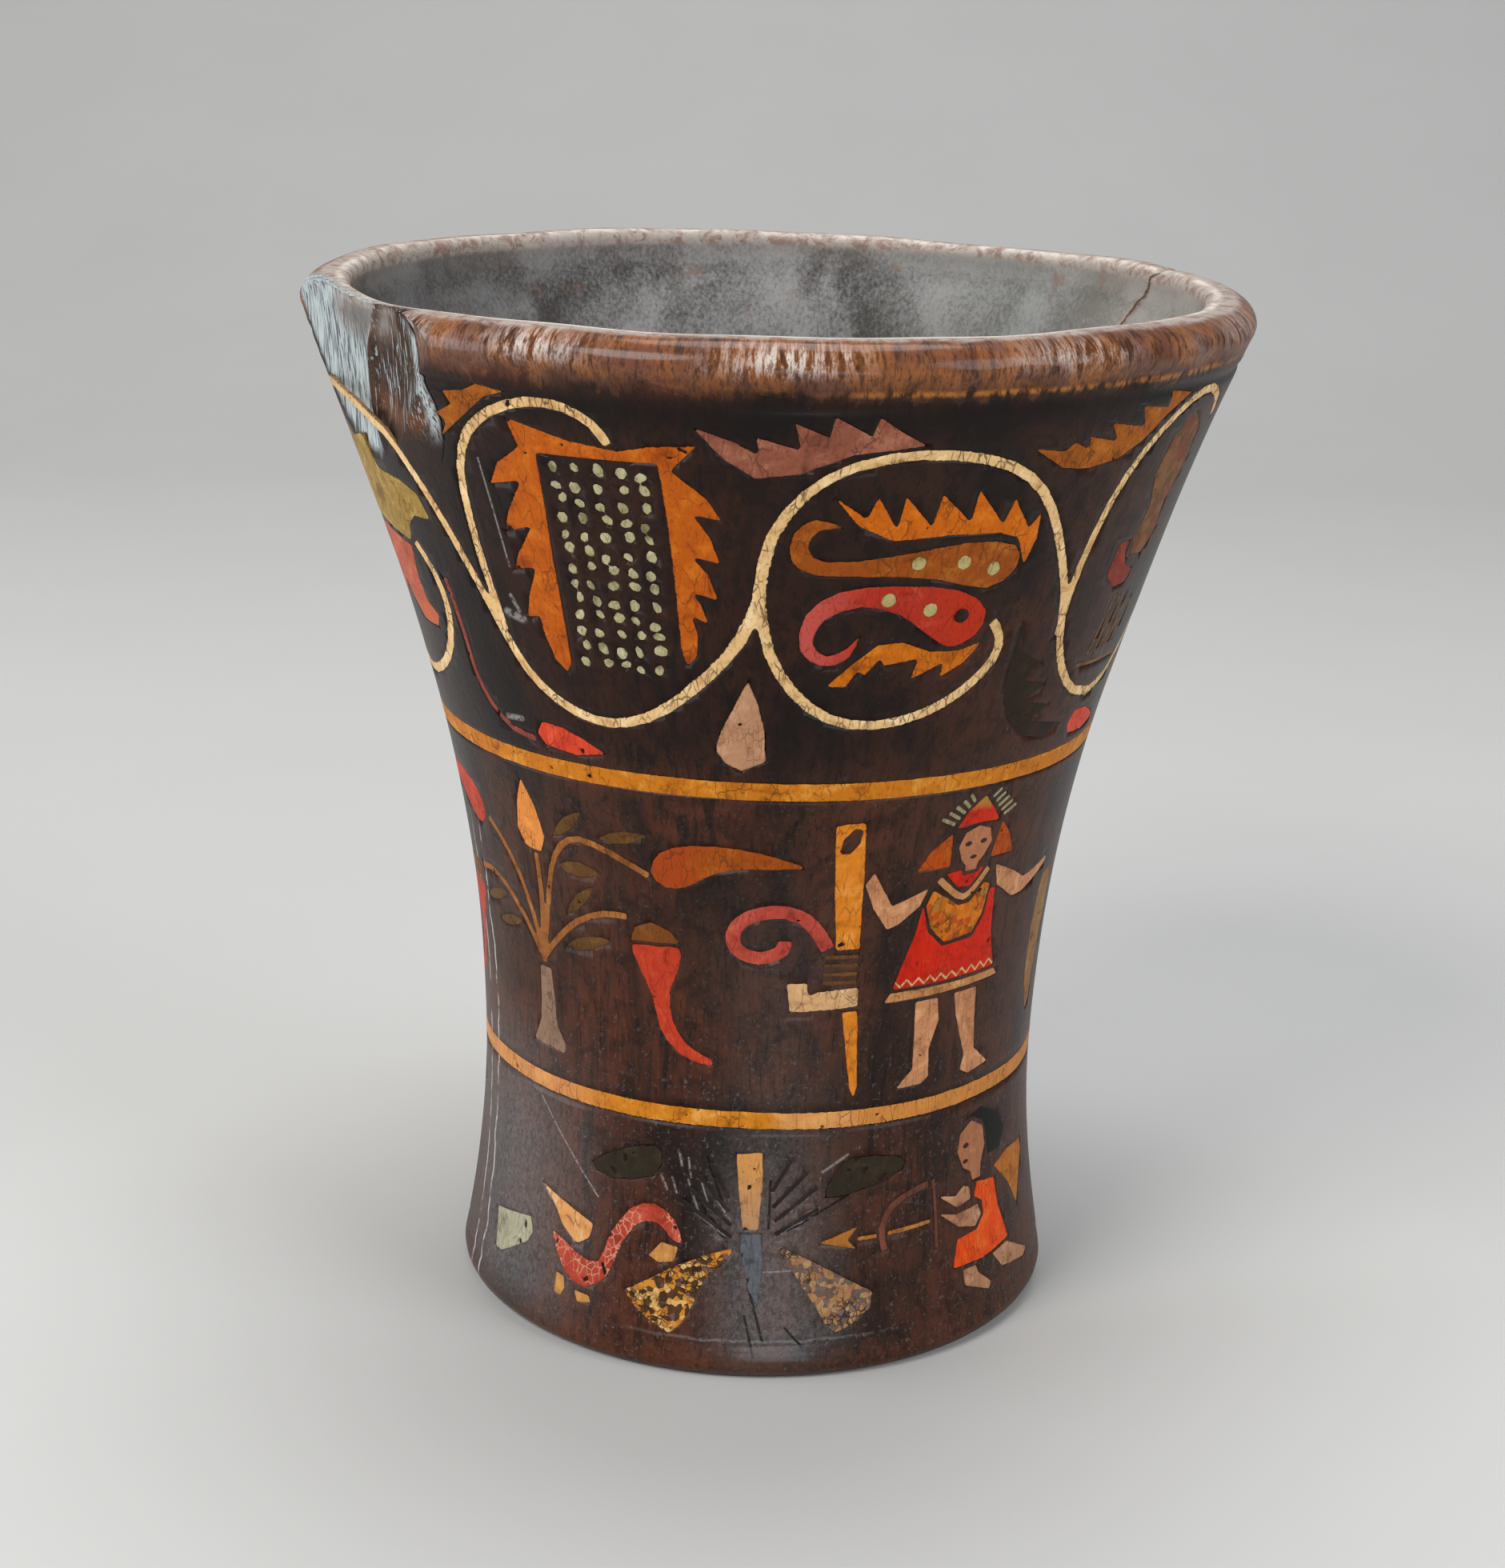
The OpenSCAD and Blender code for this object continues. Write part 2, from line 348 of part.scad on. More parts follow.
back_leg = [[55.5, 14.2], [61.2, 14.6], [70.5, 9.9], [68.5, 9], [58.6, 10.8]];
quiver_outline = [[57.4, 31], [63, 32.4], [70.6, 32], [71.5, 29.5], [67.3, 20.3], [63.4, 25.8]];
bow_line = [[26.8, 22.4], [26.2, 26.4], [28.4, 30.4], [33, 32.4], [36.8, 33.1]];
bow_string = [[38.2, 33.6], [38.8, 28], [39, 20.4]];
arrow_lines = [[[21.2, 25.2], [25, 25.3]], [[27.6, 25.4], [37.4, 25.8]]];
arrow_tip = [[13.4, 25.1], [20.8, 27.4], [18.9, 25.2], [20.8, 23.4]];

function mirrored(points, axis) =
  [for (i = [len(points) - 1 : -1 : 0]) [2 * axis - points[i][0], points[i][1]]];
function moved(points, turn, lift) = [for (p = points) [p[0] + turn, p[1] + lift]];
// A half outline and its mirror image, which share the first and last points
function whole(half, axis) = let (m = len(half) - 2)
  concat(half, [for (i = [m : -1 : 1]) [2 * axis - half[i][0], half[i][1]]]);
flower_axis = -72;
plant_axis = -46.6;
upper_chilli_axis = -40.5;
upper_chilli_lift = 1.6;
second_drop_turn = 84;
second_bud_turn = 96;
left_chilli_outline = moved(mirrored(orange_chilli_outline, upper_chilli_axis), 0, upper_chilli_lift);
left_hanging_chilli = mirrored(red_chilli_outline, plant_axis);
left_cap = mirrored(chilli_cap_outline, plant_axis);
second_drop = moved(drop_outline, second_drop_turn, 0);
second_bud = moved(bud_outline, second_bud_turn, 0);

module seed_cut(place) {
  view = middle(orange_pepper_outline);
  outwards(view) translate(on_view([place], view)[0]) circle(d = seed_size, $fn = 8);
}
// Corners of the field of kernels, and how far a kernel strays from its row and column
kernel_field = [[-26.5, 133], [-15.2, 167]];
kernel_stray = 0.35;
module kernels_cut() {
  view = middle(kernel_field);
  span = kernel_field[1] - kernel_field[0];
  for (row = [0 : kernel_rows - 1], column = [0 : kernel_columns - 1]) {
    stray = kernel_stray * sin(row * 117 + column * 71);
    share = [column / (kernel_columns - 1), row / (kernel_rows - 1)];
    place = kernel_field[0] + [span.x * share.x, span.y * share.y] + [stray, stray];
    outwards(view) translate(on_view([place], view)[0])
      rotate(row * 34 + column * 44) circle(d = kernel_size, $fn = 6);
  }
}

// Turned wooden cup with a pocket for every inlaid piece
module cup_body() color("#3A2622") difference() {
  rotate_extrude() polygon(body_outline);
  split_face();
  pockets();
}
module pockets() {
  $proud = pocket_reach;
  upper_border();
  lower_border();
  vine_scroll();
  panel_frame();
  panel_kernels();
  crest_leaf();
  side_leaves();
  pepper_crown_leaf();
  orange_pepper();
  red_pepper();
  pepper_seeds();
  pepper_under_leaf();
  seed_drops();
  red_buds();
  bud_stem();
  flower_calyx();
  flower_petals();
  dark_leaf();
  tuft_curl();
  tuft_plume();
  tuft_fringe();
  plant_trunk();
  plant_stems();
  plant_bud();
  plant_leaves();
  orange_chilli();
  red_chilli();
  chilli_cap();
  staff();
  staff_binding();
  staff_hand();
  staff_curl();
  figure_head();
  face_marks();
  figure_cap();
  figure_feathers();
  figure_hair();
  figure_dress();
  figure_chest();
  figure_trim();
  figure_limbs();
  paddle();
  creature_body();
  creature_beak_and_feet();
  creature_wing();
  creature_tail();
  insect_body();
  insect_tail();
  insect_wings();
  insect_rays();
  cloud_patches();
  archer_head();
  archer_hair();
  archer_tunic();
  archer_limbs();
  archer_quiver();
  archer_bow();
  archer_arrow();
}

// Borders
module upper_border() color("#D2912F") stripe(upper_border_height);
module lower_border() color("#D2912F") stripe(lower_border_height);

// Upper band
module vine_scroll() color("#E6BE82") upper_inlay() {
  line_cut(vine_under_panel, vine_width);
  line_cut(vine_over_panel, vine_width);
  line_cut(vine_over_peppers, vine_width);
  line_cut(vine_round_peppers, vine_width);
  line_cut(vine_over_tuft, vine_width);
  line_cut(vine_over_flower, vine_width);
  line_cut(vine_round_flower, vine_width);
}
module panel_frame() color("#C8701A") upper_inlay() cut(frame_outline);
module panel_kernels() color("#A2A068") upper_inlay() kernels_cut();
module crest_leaf() color("#9C5048") upper_inlay() cut(crest_leaf_outline);
module side_leaves() color("#CF8A22") upper_inlay() {
  cut(side_leaf_outline);
  cut(corner_leaf_outline);
}
module pepper_crown_leaf() color("#D39428") upper_inlay() cut(crown_leaf_outline);
module orange_pepper() color("#C0771E") upper_inlay() difference() {
  soft_cut(orange_pepper_outline);
  for (place = orange_seeds) seed_cut(place);
}
module red_pepper() color("#CB3A2C") upper_inlay() difference() {
  soft_cut(red_pepper_outline);
  for (place = concat(red_seeds, [lost_seed])) seed_cut(place);
}
module pepper_seeds() color("#B7AE79") upper_inlay() {
  for (place = orange_seeds) seed_cut(place);
  for (place = red_seeds) seed_cut(place);
}
module pepper_under_leaf() color("#D39428") upper_inlay() cut(under_leaf_outline);
module seed_drops() color("#BD8467") upper_inlay() {
  cut(drop_outline);
  cut(second_drop);
}
module red_buds() color("#D2492F") upper_inlay() {
  cut(bud_outline);
  cut(second_bud);
}
module bud_stem() color("#A5493F") upper_inlay() line_cut(bud_stem_line, stem_width);
module flower_calyx() color("#A2935A") upper_inlay() cut(whole(calyx_half, flower_axis));
module flower_petals() color("#BE5238") upper_inlay() cut(whole(petals_half, flower_axis));
module dark_leaf() color("#4B3B22") upper_inlay() cut(dark_leaf_outline);
module tuft_curl() color("#B5372C") upper_inlay() cut(tuft_curl_outline);
module tuft_plume() color("#8A6330") upper_inlay() cut(tuft_plume_outline);
module tuft_fringe() color("#77603F") upper_inlay() {
  for (line = fringe_lines) line_cut(line, ray_width);
  line_cut(fringe_base, ray_width);
}

// Middle band
module plant_trunk() color("#7A6254") middle_inlay() cut(trunk_outline);
module plant_stems() color("#9C6430") middle_inlay()
  for (line = stem_lines) line_cut(line, stem_width);
module plant_bud() color("#D3863A") middle_inlay() cut(plant_bud_outline);
module plant_leaves() color("#6A4A22") middle_inlay()
  for (tips = plant_leaf_tips) leaf_cut(tips[0], tips[1], tips[2]);
module orange_chilli() color("#C17818") middle_inlay() soft_cut(orange_chilli_outline);
module red_chilli() color("#CF3F26") middle_inlay() {
  soft_cut(red_chilli_outline);
  soft_cut(left_hanging_chilli);
  soft_cut(left_chilli_outline);
}
module chilli_cap() color("#8E6A26") middle_inlay() {
  cut(chilli_cap_outline);
  cut(left_cap);
}
module staff() color("#CF8F2E") middle_inlay() {
  outwards(middle(staff_outline)) difference() {
    polygon(on_view(staff_outline, middle(staff_outline)));
    polygon(on_view(staff_hole, middle(staff_outline)));
  }
  cut(blade_outline);
}
module staff_binding() color("#6B4A22") middle_inlay()
  for (row = [0 : binding_rows - 1])
    line_cut(moved(binding_line, 0, row * binding_rise), ray_width);
module staff_hand() color("#D9BE86") middle_inlay() cut(hand_outline);
module staff_curl() color("#BC4A44") middle_inlay() line_cut(curl_line, curl_width);
module figure_head() color("#D09C74") middle_inlay() difference() {
  cut(head_outline);
  for (line = face_lines) leaf_cut(line[0], line[1], line[2]);
}
module face_marks() color("#2A1A14") {
  middle_inlay() for (line = face_lines) leaf_cut(line[0], line[1], line[2]);
  lower_inlay() for (line = archer_face_lines) leaf_cut(line[0], line[1], line[2]);
}
module figure_cap() color("#C83A22") middle_inlay() cut(cap_outline);
module figure_feathers() color("#A9AC8E") middle_inlay()
  for (line = concat(feather_left, feather_right))
    line_cut(line, ray_width);
module figure_hair() color("#B56A1C") middle_inlay() {
  cut(hair_left);
  cut(hair_right);
}
module figure_dress() color("#CC3518") middle_inlay() {
  cut(yoke_outline);
  cut(skirt_outline);
}
module figure_chest() color("#CB801E") middle_inlay() cut(chest_outline);
module figure_trim() color("#B9B384") middle_inlay() {
  line_cut(collar_line, collar_width);
  cut(hem_outline);
}
module figure_limbs() color("#D09C74") middle_inlay() {
  cut(left_arm);
  cut(right_arm);
  cut(left_leg);
  cut(right_leg);
}
module paddle() color("#C49A58") middle_inlay() cut(paddle_outline);

// Lower band
module creature_body() color("#C2402F") lower_inlay() soft_cut(creature_outline);
module creature_beak_and_feet() color("#CFA04A") lower_inlay() {
  cut(beak_outline);
  for (outline = foot_outlines) cut(outline);
}
module creature_wing() color("#CE8636") lower_inlay() cut(wing_outline);
module creature_tail() color("#8E8E68") lower_inlay() cut(tail_outline);
module insect_body() color("#C68D50") lower_inlay() cut(insect_outline);
module insect_tail() color("#39454F") lower_inlay() cut(insect_tail_outline);
module insect_wings() color("#C28636") lower_inlay() {
  cut(left_wing);
  cut(right_wing);
}
module insect_rays() color("#23201F") lower_inlay() {
  for (line = left_rays) line_cut(line, ray_width);
  for (line = right_rays) line_cut(line, ray_width);
}
module cloud_patches() color("#433820") lower_inlay() for (outline = clouds) soft_cut(outline);
module archer_head() color("#D09C74") lower_inlay() difference() {
  cut(archer_head_outline);
  for (line = archer_face_lines) leaf_cut(line[0], line[1], line[2]);
}
module archer_hair() color("#1D1B1B") lower_inlay() cut(archer_hair_outline);
module archer_tunic() color("#DD5A1C") lower_inlay() cut(tunic_outline);
module archer_limbs() color("#D09C74") lower_inlay() {
  cut(upper_arm);
  cut(lower_arm);
  cut(front_leg);
  cut(back_leg);
}
module archer_quiver() color("#B98325") lower_inlay() cut(quiver_outline);
module archer_bow() color("#5E332C") lower_inlay() {
  line_cut(bow_line, stem_width);
  line_cut(bow_string, ray_width);
}
module archer_arrow() color("#C48228") lower_inlay() {
  for (line = arrow_lines) line_cut(line, ray_width);
  cut(arrow_tip);
}

cup_body();
upper_border();
lower_border();
vine_scroll();
panel_frame();
panel_kernels();
crest_leaf();
side_leaves();
pepper_crown_leaf();
orange_pepper();
red_pepper();
pepper_seeds();
pepper_under_leaf();
seed_drops();
red_buds();
bud_stem();
flower_calyx();
flower_petals();
dark_leaf();
tuft_curl();
tuft_plume();
tuft_fringe();
plant_trunk();
plant_stems();
plant_bud();
plant_leaves();
orange_chilli();
red_chilli();
chilli_cap();
staff();
staff_binding();
staff_hand();
staff_curl();
figure_head();
figure_cap();
figure_feathers();
figure_hair();
figure_dress();
figure_chest();
figure_trim();
figure_limbs();
face_marks();
paddle();
creature_body();
creature_beak_and_feet();
creature_wing();
creature_tail();
insect_body();
insect_tail();
insect_wings();
insect_rays();
cloud_patches();
archer_head();
archer_hair();
archer_tunic();
archer_limbs();
archer_quiver();
archer_bow();
archer_arrow();
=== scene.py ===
import bpy, bmesh, json, math
import numpy as np
from mathutils import Matrix, Vector, noise
from mathutils.kdtree import KDTree

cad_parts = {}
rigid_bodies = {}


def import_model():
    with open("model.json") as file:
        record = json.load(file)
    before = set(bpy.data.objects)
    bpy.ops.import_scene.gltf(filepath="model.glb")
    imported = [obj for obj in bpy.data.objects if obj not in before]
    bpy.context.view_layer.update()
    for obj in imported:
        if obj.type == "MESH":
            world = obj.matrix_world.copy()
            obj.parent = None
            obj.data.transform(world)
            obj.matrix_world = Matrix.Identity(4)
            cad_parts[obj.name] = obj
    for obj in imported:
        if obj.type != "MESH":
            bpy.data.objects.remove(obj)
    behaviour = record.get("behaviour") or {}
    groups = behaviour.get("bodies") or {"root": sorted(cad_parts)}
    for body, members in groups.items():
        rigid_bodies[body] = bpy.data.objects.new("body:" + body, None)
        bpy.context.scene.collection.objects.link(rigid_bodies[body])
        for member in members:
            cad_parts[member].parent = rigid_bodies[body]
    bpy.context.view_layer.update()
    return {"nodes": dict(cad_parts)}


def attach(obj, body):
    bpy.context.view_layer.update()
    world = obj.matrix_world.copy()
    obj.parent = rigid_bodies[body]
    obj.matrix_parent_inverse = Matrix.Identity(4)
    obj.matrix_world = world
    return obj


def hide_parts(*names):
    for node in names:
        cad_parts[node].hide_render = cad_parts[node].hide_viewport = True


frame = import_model()
mm = 0.001
degree = math.radians(1)

# sizes in mm, as in the part's source but for the worn foot, its top, the neck and the ring that marks lie on
cup = {
    "height": 190, "footR": 57, "waistR": 52, "waistZ": 45, "shoulderR": 61, "shoulderZ": 113.8,
    "mouthR": 85, "mouthZ": 185, "wall": 9, "floorZ": 18, "floorRound": 12,
    "lip": 5, "innerLip": 2, "footRound": 3.2, "neckZ": 174, "footTopZ": 10, "markR": 84,
    "rings": [2, 21.2, 45, 68.3, 89.2, 113.8, 149.64, 185],  # where the part's straight rings meet
}
split = {"angle": -63, "edge": 1, "depth": 30}
farCrack = {"turn": 112, "drift": 0.44}  # degrees at the rim, and degrees per mm down
# faces round the cup, and steps along each stretch of its profile
steps = {
    "turns": 240, "underside": 4, "footEdge": 5, "foot": 9, "lower": 16, "belly": 28, "flare": 28, "neck": 14,
    "lip": 9, "rim": 2, "innerLip": 5, "innerRim": 1, "innerFlare": 16, "innerBelly": 10, "innerFoot": 5,
    "floorEdge": 7, "floor": 4, "splitCuts": 2,
}


def arcRadius(rise, run):
    return (rise ** 2 + run ** 2) / (2 * run)


footArc = arcRadius(cup["waistZ"], cup["footR"] - cup["waistR"])
bellyRise = cup["shoulderZ"] - cup["waistZ"]
bellyArc = arcRadius(bellyRise, cup["shoulderR"] - cup["waistR"])
lean = math.asin(bellyRise / bellyArc)
flareRun = cup["mouthR"] - cup["shoulderR"]
flareRise = cup["mouthZ"] - cup["shoulderZ"]
flareReach = flareRun * math.cos(lean) - flareRise * math.sin(lean)
flareArc = (flareRun ** 2 + flareRise ** 2) / (2 * flareReach)
footCentre = (cup["waistR"] + footArc, cup["waistZ"])
bellyCentre = (cup["waistR"] + bellyArc, cup["waistZ"])
flareCentre = (
    cup["shoulderR"] + flareArc * math.cos(lean),
    cup["shoulderZ"] - flareArc * math.sin(lean))


def wallRadius(z):  # outer wall in mm, three arcs with one tangent
    z = np.clip(np.asarray(z, float), 0, cup["mouthZ"])
    def arc(centre, radius):
        return centre[0] - np.sqrt(np.maximum(radius ** 2 - (z - centre[1]) ** 2, 0))
    upper = np.where(z < cup["shoulderZ"], arc(bellyCentre, bellyArc), arc(flareCentre, flareArc))
    return np.where(z < cup["waistZ"], arc(footCentre, footArc), upper)


ringHeights = np.array(cup["rings"])
ringRadii = wallRadius(ringHeights)

# the flat split at the rim: a point on it and its outward normal
splitReach = cup["mouthR"] - cup["wall"] + cup["innerLip"] + split["edge"]
splitExit = np.interp(cup["height"] - split["depth"], ringHeights, ringRadii)
splitTilt = math.atan((splitReach - splitExit) / split["depth"])
splitTurn = math.radians(split["angle"])
splitOut = Vector((math.sin(splitTurn), -math.cos(splitTurn), 0))
splitNormal = (splitOut * math.cos(splitTilt) - Vector((0, 0, 1)) * math.sin(splitTilt)).normalized()
splitPoint = splitOut * splitReach + Vector((0, 0, cup["height"]))
splitDown = (Vector((0, 0, -1)) - splitNormal * splitNormal.dot(Vector((0, 0, -1)))).normalized()
splitAcross = splitNormal.cross(splitDown)


# lines on the split, in mm across it for a way v down it: the pale side's edge, and the crack
def paleEdge(v):
    return 11.1 - 1.1 * v + 0.032 * v * v


def crackLine(v):
    return 20.2 + 1.1 * v - 0.036 * v * v


def bump(x, middle, width):
    return np.exp(-((x - middle) / width) ** 2)


def turnsApart(phi, middle):  # degrees between two directions
    return (phi - middle + 180) % 360 - 180


def farCrackTurn(z):  # direction of the old crack through the far rim, at this height
    return farCrack["turn"] + (cup["height"] - z) * farCrack["drift"]


chips = [  # [direction in degrees, height, width in mm, height in mm, depth in mm] at the lip's outer edge
    [-28, 183, 3.2, 1.6, 0.9], [-13, 181.5, 5, 1.2, 0.6], [-6, 181, 4, 1.1, 0.7], [2, 182, 5, 1.3, 0.5],
    [14, 183, 3, 1.6, 0.6], [27, 184, 3.4, 1.6, 0.7], [43, 182, 4, 1.4, 0.7], [58, 184, 5, 2, 0.8],
    [78, 183, 4, 1.8, 0.6], [98, 185, 5, 2, 0.8], [131, 184, 6, 2.4, 0.9], [164, 185, 4, 2, 0.7],
    [196, 183, 5, 2, 0.8], [221, 185, 6, 2, 0.6], [247, 184, 4, 2, 0.8],
]
# waves in the rim, as turns, start and size in mm, and in the wall
lipWaves = [(2, 0.3, 0.35), (3, 1.9, 0.25), (5, 4.1, 0.2), (9, 0.7, 0.12), (17, 2.6, 0.08)]
wallWaves = [  # turns, climb, start, size in mm
    (2, 0.02, 1.1, 0.32), (3, 0.035, 0.2, 0.22), (5, 0.05, 2.7, 0.16), (8, 0.07, 5.2, 0.1), (13, 0.11, 3.3, 0.06),
]
turnedLines = {"lip": (179.6, 0.8), "foot": (6.4, 0.7)}  # height and width in mm


def carvedWall(phi, z):  # how far the hand-cut wall strays from the true turning, in mm
    a = np.radians(phi)
    out = np.zeros_like(z)
    for turns, climb, start, size in wallWaves:
        out += size * np.sin(turns * a + climb * z + start) * np.cos(0.6 * climb * z + turns)
    out *= np.clip((z - 1) / 8, 0, 1)
    height, width = turnedLines["lip"]
    depth = 0.42 + 0.16 * np.sin(6 * a + 1) + 0.1 * np.sin(15 * a)
    out -= depth * bump(z, height + 0.5 * np.sin(4 * a), width)
    height, width = turnedLines["foot"]
    depth = 0.22 + 0.12 * np.sin(3 * a + 2)
    out -= depth * bump(z, height + 0.5 * np.sin(2 * a), width)
    for direction, height, width, tall, deep in chips:
        away = np.radians(turnsApart(phi, direction)) * cup["markR"]
        out -= deep * bump(away, 0, width) * bump(z, height, tall)
    return out


def lipLift(phi):  # the rim's top isn't level
    a = np.radians(phi)
    return sum(size * np.sin(turns * a + start) for turns, start, size in lipWaves) - 0.55


def toObject(name, bm):
    mesh = bpy.data.meshes.new(name)
    bm.to_mesh(mesh)
    bm.free()
    made = bpy.data.objects.new(name, mesh)
    bpy.context.scene.collection.objects.link(made)
    return made


def readPoints(mesh):
    flat = np.empty(len(mesh.vertices) * 3)
    mesh.vertices.foreach_get("co", flat)
    return flat.reshape(-1, 3) / mm


def writePoints(mesh, points):
    mesh.vertices.foreach_set("co", (points * mm).ravel())
    mesh.update()


def polar(points):  # degrees from the front, radius and height
    x, y, z = points.T
    return np.degrees(np.arctan2(x, -y)), np.hypot(x, y), z


def unpolar(phi, r, z):
    a = np.radians(phi)
    return np.column_stack([r * np.sin(a), -r * np.cos(a), z])


def lineTo(bm, vert, x, z, cuts):
    start = vert.co.copy()
    for i in range(cuts + 1):
        vert = bmesh.ops.extrude_vert_indiv(bm, verts=[vert])["verts"][0]
        vert.co = start.lerp(Vector((x * mm, 0, z * mm)), (i + 1) / (cuts + 1))
    return vert


def arcTo(bm, vert, centre, endAngle, count):  # turns the profile's last point about a centre
    here = math.atan2(vert.co.z / mm - centre[1], vert.co.x / mm - centre[0])
    sweep = (endAngle - here + math.pi) % (2 * math.pi) - math.pi
    made = bmesh.ops.spin(bm, geom=[vert], cent=(centre[0] * mm, 0, centre[1] * mm), axis=(0, -1, 0),
                          angle=sweep, steps=count, use_duplicate=False)
    return next(g for g in made["geom_last"] if isinstance(g, bmesh.types.BMVert))


def angleAt(centre, radius, z):  # direction from an arc's centre to its point at this height
    return math.pi - math.asin((z - centre[1]) / radius)


def buildCup():
    bm = bmesh.new()
    footR = float(wallRadius(cup["footRound"]))
    innerR = cup["mouthR"] - cup["wall"]
    innerFlare, innerBelly, innerFoot = ((x - cup["wall"], z) for x, z in (flareCentre, bellyCentre, footCentre))
    cornerZ = cup["floorZ"] + cup["floorRound"]
    # outside, from the middle of the underside to the lip
    at = bm.verts.new((0, 0, 0))
    at = lineTo(bm, at, footR - cup["footRound"], 0, steps["underside"])
    at = arcTo(bm, at, (footR - cup["footRound"], cup["footRound"]), 0, steps["footEdge"])
    at = arcTo(bm, at, footCentre, angleAt(footCentre, footArc, cup["footTopZ"]), steps["foot"])
    at = arcTo(bm, at, footCentre, math.pi, steps["lower"])
    at = arcTo(bm, at, bellyCentre, angleAt(bellyCentre, bellyArc, cup["shoulderZ"]), steps["belly"])
    at = arcTo(bm, at, flareCentre, angleAt(flareCentre, flareArc, cup["neckZ"]), steps["flare"])
    at = arcTo(bm, at, flareCentre, angleAt(flareCentre, flareArc, cup["mouthZ"]), steps["neck"])
    at = arcTo(bm, at, (cup["mouthR"] - cup["lip"], cup["mouthZ"]), math.pi / 2, steps["lip"])
    # rim and inside, to the middle of the floor
    at = lineTo(bm, at, innerR + cup["innerLip"], cup["height"], steps["rim"])
    at = arcTo(bm, at, (innerR + cup["innerLip"], cup["height"] - cup["innerLip"]), math.pi, steps["innerLip"])
    at = lineTo(bm, at, innerR, cup["mouthZ"], steps["innerRim"])
    at = arcTo(bm, at, innerFlare, angleAt(innerFlare, flareArc, cup["shoulderZ"]), steps["innerFlare"])
    at = arcTo(bm, at, innerBelly, math.pi, steps["innerBelly"])
    at = arcTo(bm, at, innerFoot, angleAt(innerFoot, footArc, cornerZ), steps["innerFoot"])
    cornerR = at.co.x / mm - cup["floorRound"]
    at = arcTo(bm, at, (cornerR, cornerZ), -math.pi / 2, steps["floorEdge"])
    lineTo(bm, at, 0, cup["floorZ"], steps["floor"])
    bmesh.ops.spin(bm, geom=bm.verts[:] + bm.edges[:], cent=(0, 0, 0), axis=(0, 0, 1),
                   angle=2 * math.pi, steps=steps["turns"], use_merge=True, use_duplicate=False)
    bmesh.ops.remove_doubles(bm, verts=bm.verts[:], dist=0.01 * mm)
    bmesh.ops.recalc_face_normals(bm, faces=bm.faces[:])
    return bm


def carveCup(bm):
    bmesh.ops.bisect_plane(bm, geom=bm.verts[:] + bm.edges[:] + bm.faces[:], dist=0.002 * mm,
                           plane_co=splitPoint * mm, plane_no=splitNormal)
    fine = [e for e in bm.edges if all((v.co / mm - splitPoint).dot(splitNormal) > -0.2 for v in e.verts)]
    bmesh.ops.subdivide_edges(bm, edges=fine, cuts=steps["splitCuts"], use_grid_fill=True)
    made = toObject("cup_wood", bm)
    points = readPoints(made.data)
    phi, r, z = polar(points)
    outer = r > wallRadius(z) - 0.5 * cup["wall"]
    high = z > cup["mouthZ"] - 2
    r = r + np.where(outer | high, carvedWall(phi, z), 0)
    inside = ~outer & (z > cup["floorZ"] + 1)
    r = r + np.where(inside, 0.5 * carvedWall(phi + 40, 0.8 * z), 0)
    z = z + lipLift(phi) * np.clip((z - 172) / 18, 0, 1)
    # old crack through the far rim
    crack = bump(np.radians(turnsApart(phi, farCrackTurn(z))) * r, 0, 1.1) * np.clip((z - 158) / 24, 0, 1)
    z = z - np.where(high, 0.9 * crack, 0)
    r = r + np.where(inside, 0.5 * crack, 0)
    points = unpolar(phi, r, z)
    # wood split away at the rim: flattened to the split plane, with torn fibres running down it
    normal = np.array(splitNormal)
    across = points - np.array(splitPoint)
    proud, u, v = across @ normal, across @ np.array(splitAcross), across @ np.array(splitDown)
    beyond = u - paleEdge(v)
    torn = (0.45 + 0.12 * np.sin(u * 1.3 + 0.3 * np.sin(v * 0.35)) - 0.8 * bump(beyond, 0.2, 1.5)
            + 0.4 * np.clip(beyond - 1.2, 0, 1) + 0.1 * np.sin(u * 2.1 + 1) * np.clip(beyond, 0, 1))
    lost = np.where((proud > -0.05) & outer, np.maximum(proud, 0) + np.clip(proud / 2.2, 0, 1) * torn, 0)
    points -= lost[:, None] * normal
    writePoints(made.data, points)
    return made


def copyNode(node):  # a CAD node's triangles, joined up
    bm = bmesh.new()
    bm.from_mesh(frame["nodes"][node].data)
    bmesh.ops.remove_doubles(bm, verts=bm.verts[:], dist=0.002 * mm)
    return bm


def vertexNormals(mesh):
    flat = np.empty(len(mesh.vertices) * 3)
    mesh.vertex_normals.foreach_get("vector", flat)
    return flat.reshape(-1, 3)


def sideways(points, normals):  # the part of each normal that lies along the wall
    phi, r, z = polar(points)
    slope = (wallRadius(z + 0.5) - wallRadius(z - 0.5))
    a = np.radians(phi)
    out = np.column_stack([np.sin(a), -np.cos(a), -slope])
    out /= np.linalg.norm(out, axis=1)[:, None]
    flat = normals - (normals * out).sum(1)[:, None] * out
    return flat / np.maximum(np.linalg.norm(flat, axis=1), 0.2)[:, None]


def depthIn(points):  # depth below the part's turned skin, in mm
    phi, r, z = polar(points)
    return np.interp(z, ringHeights, ringRadii) - r


pocket = {"gap": -0.03, "deep": 1.06, "over": 1.2}  # mm: past the outline, below the wall, clear of it
# the resin's hand-set form in mm: wider than its outline, edge that wear reaches, level and unevenness of its face,
# dip at the edge, depth of a flaked place, and depth of the back
setting = {"wider": 0.07, "reach": 0.5, "proud": 0.03, "uneven": 0.03, "dip": 0.015, "flaked": 0.42, "back": 0.95}


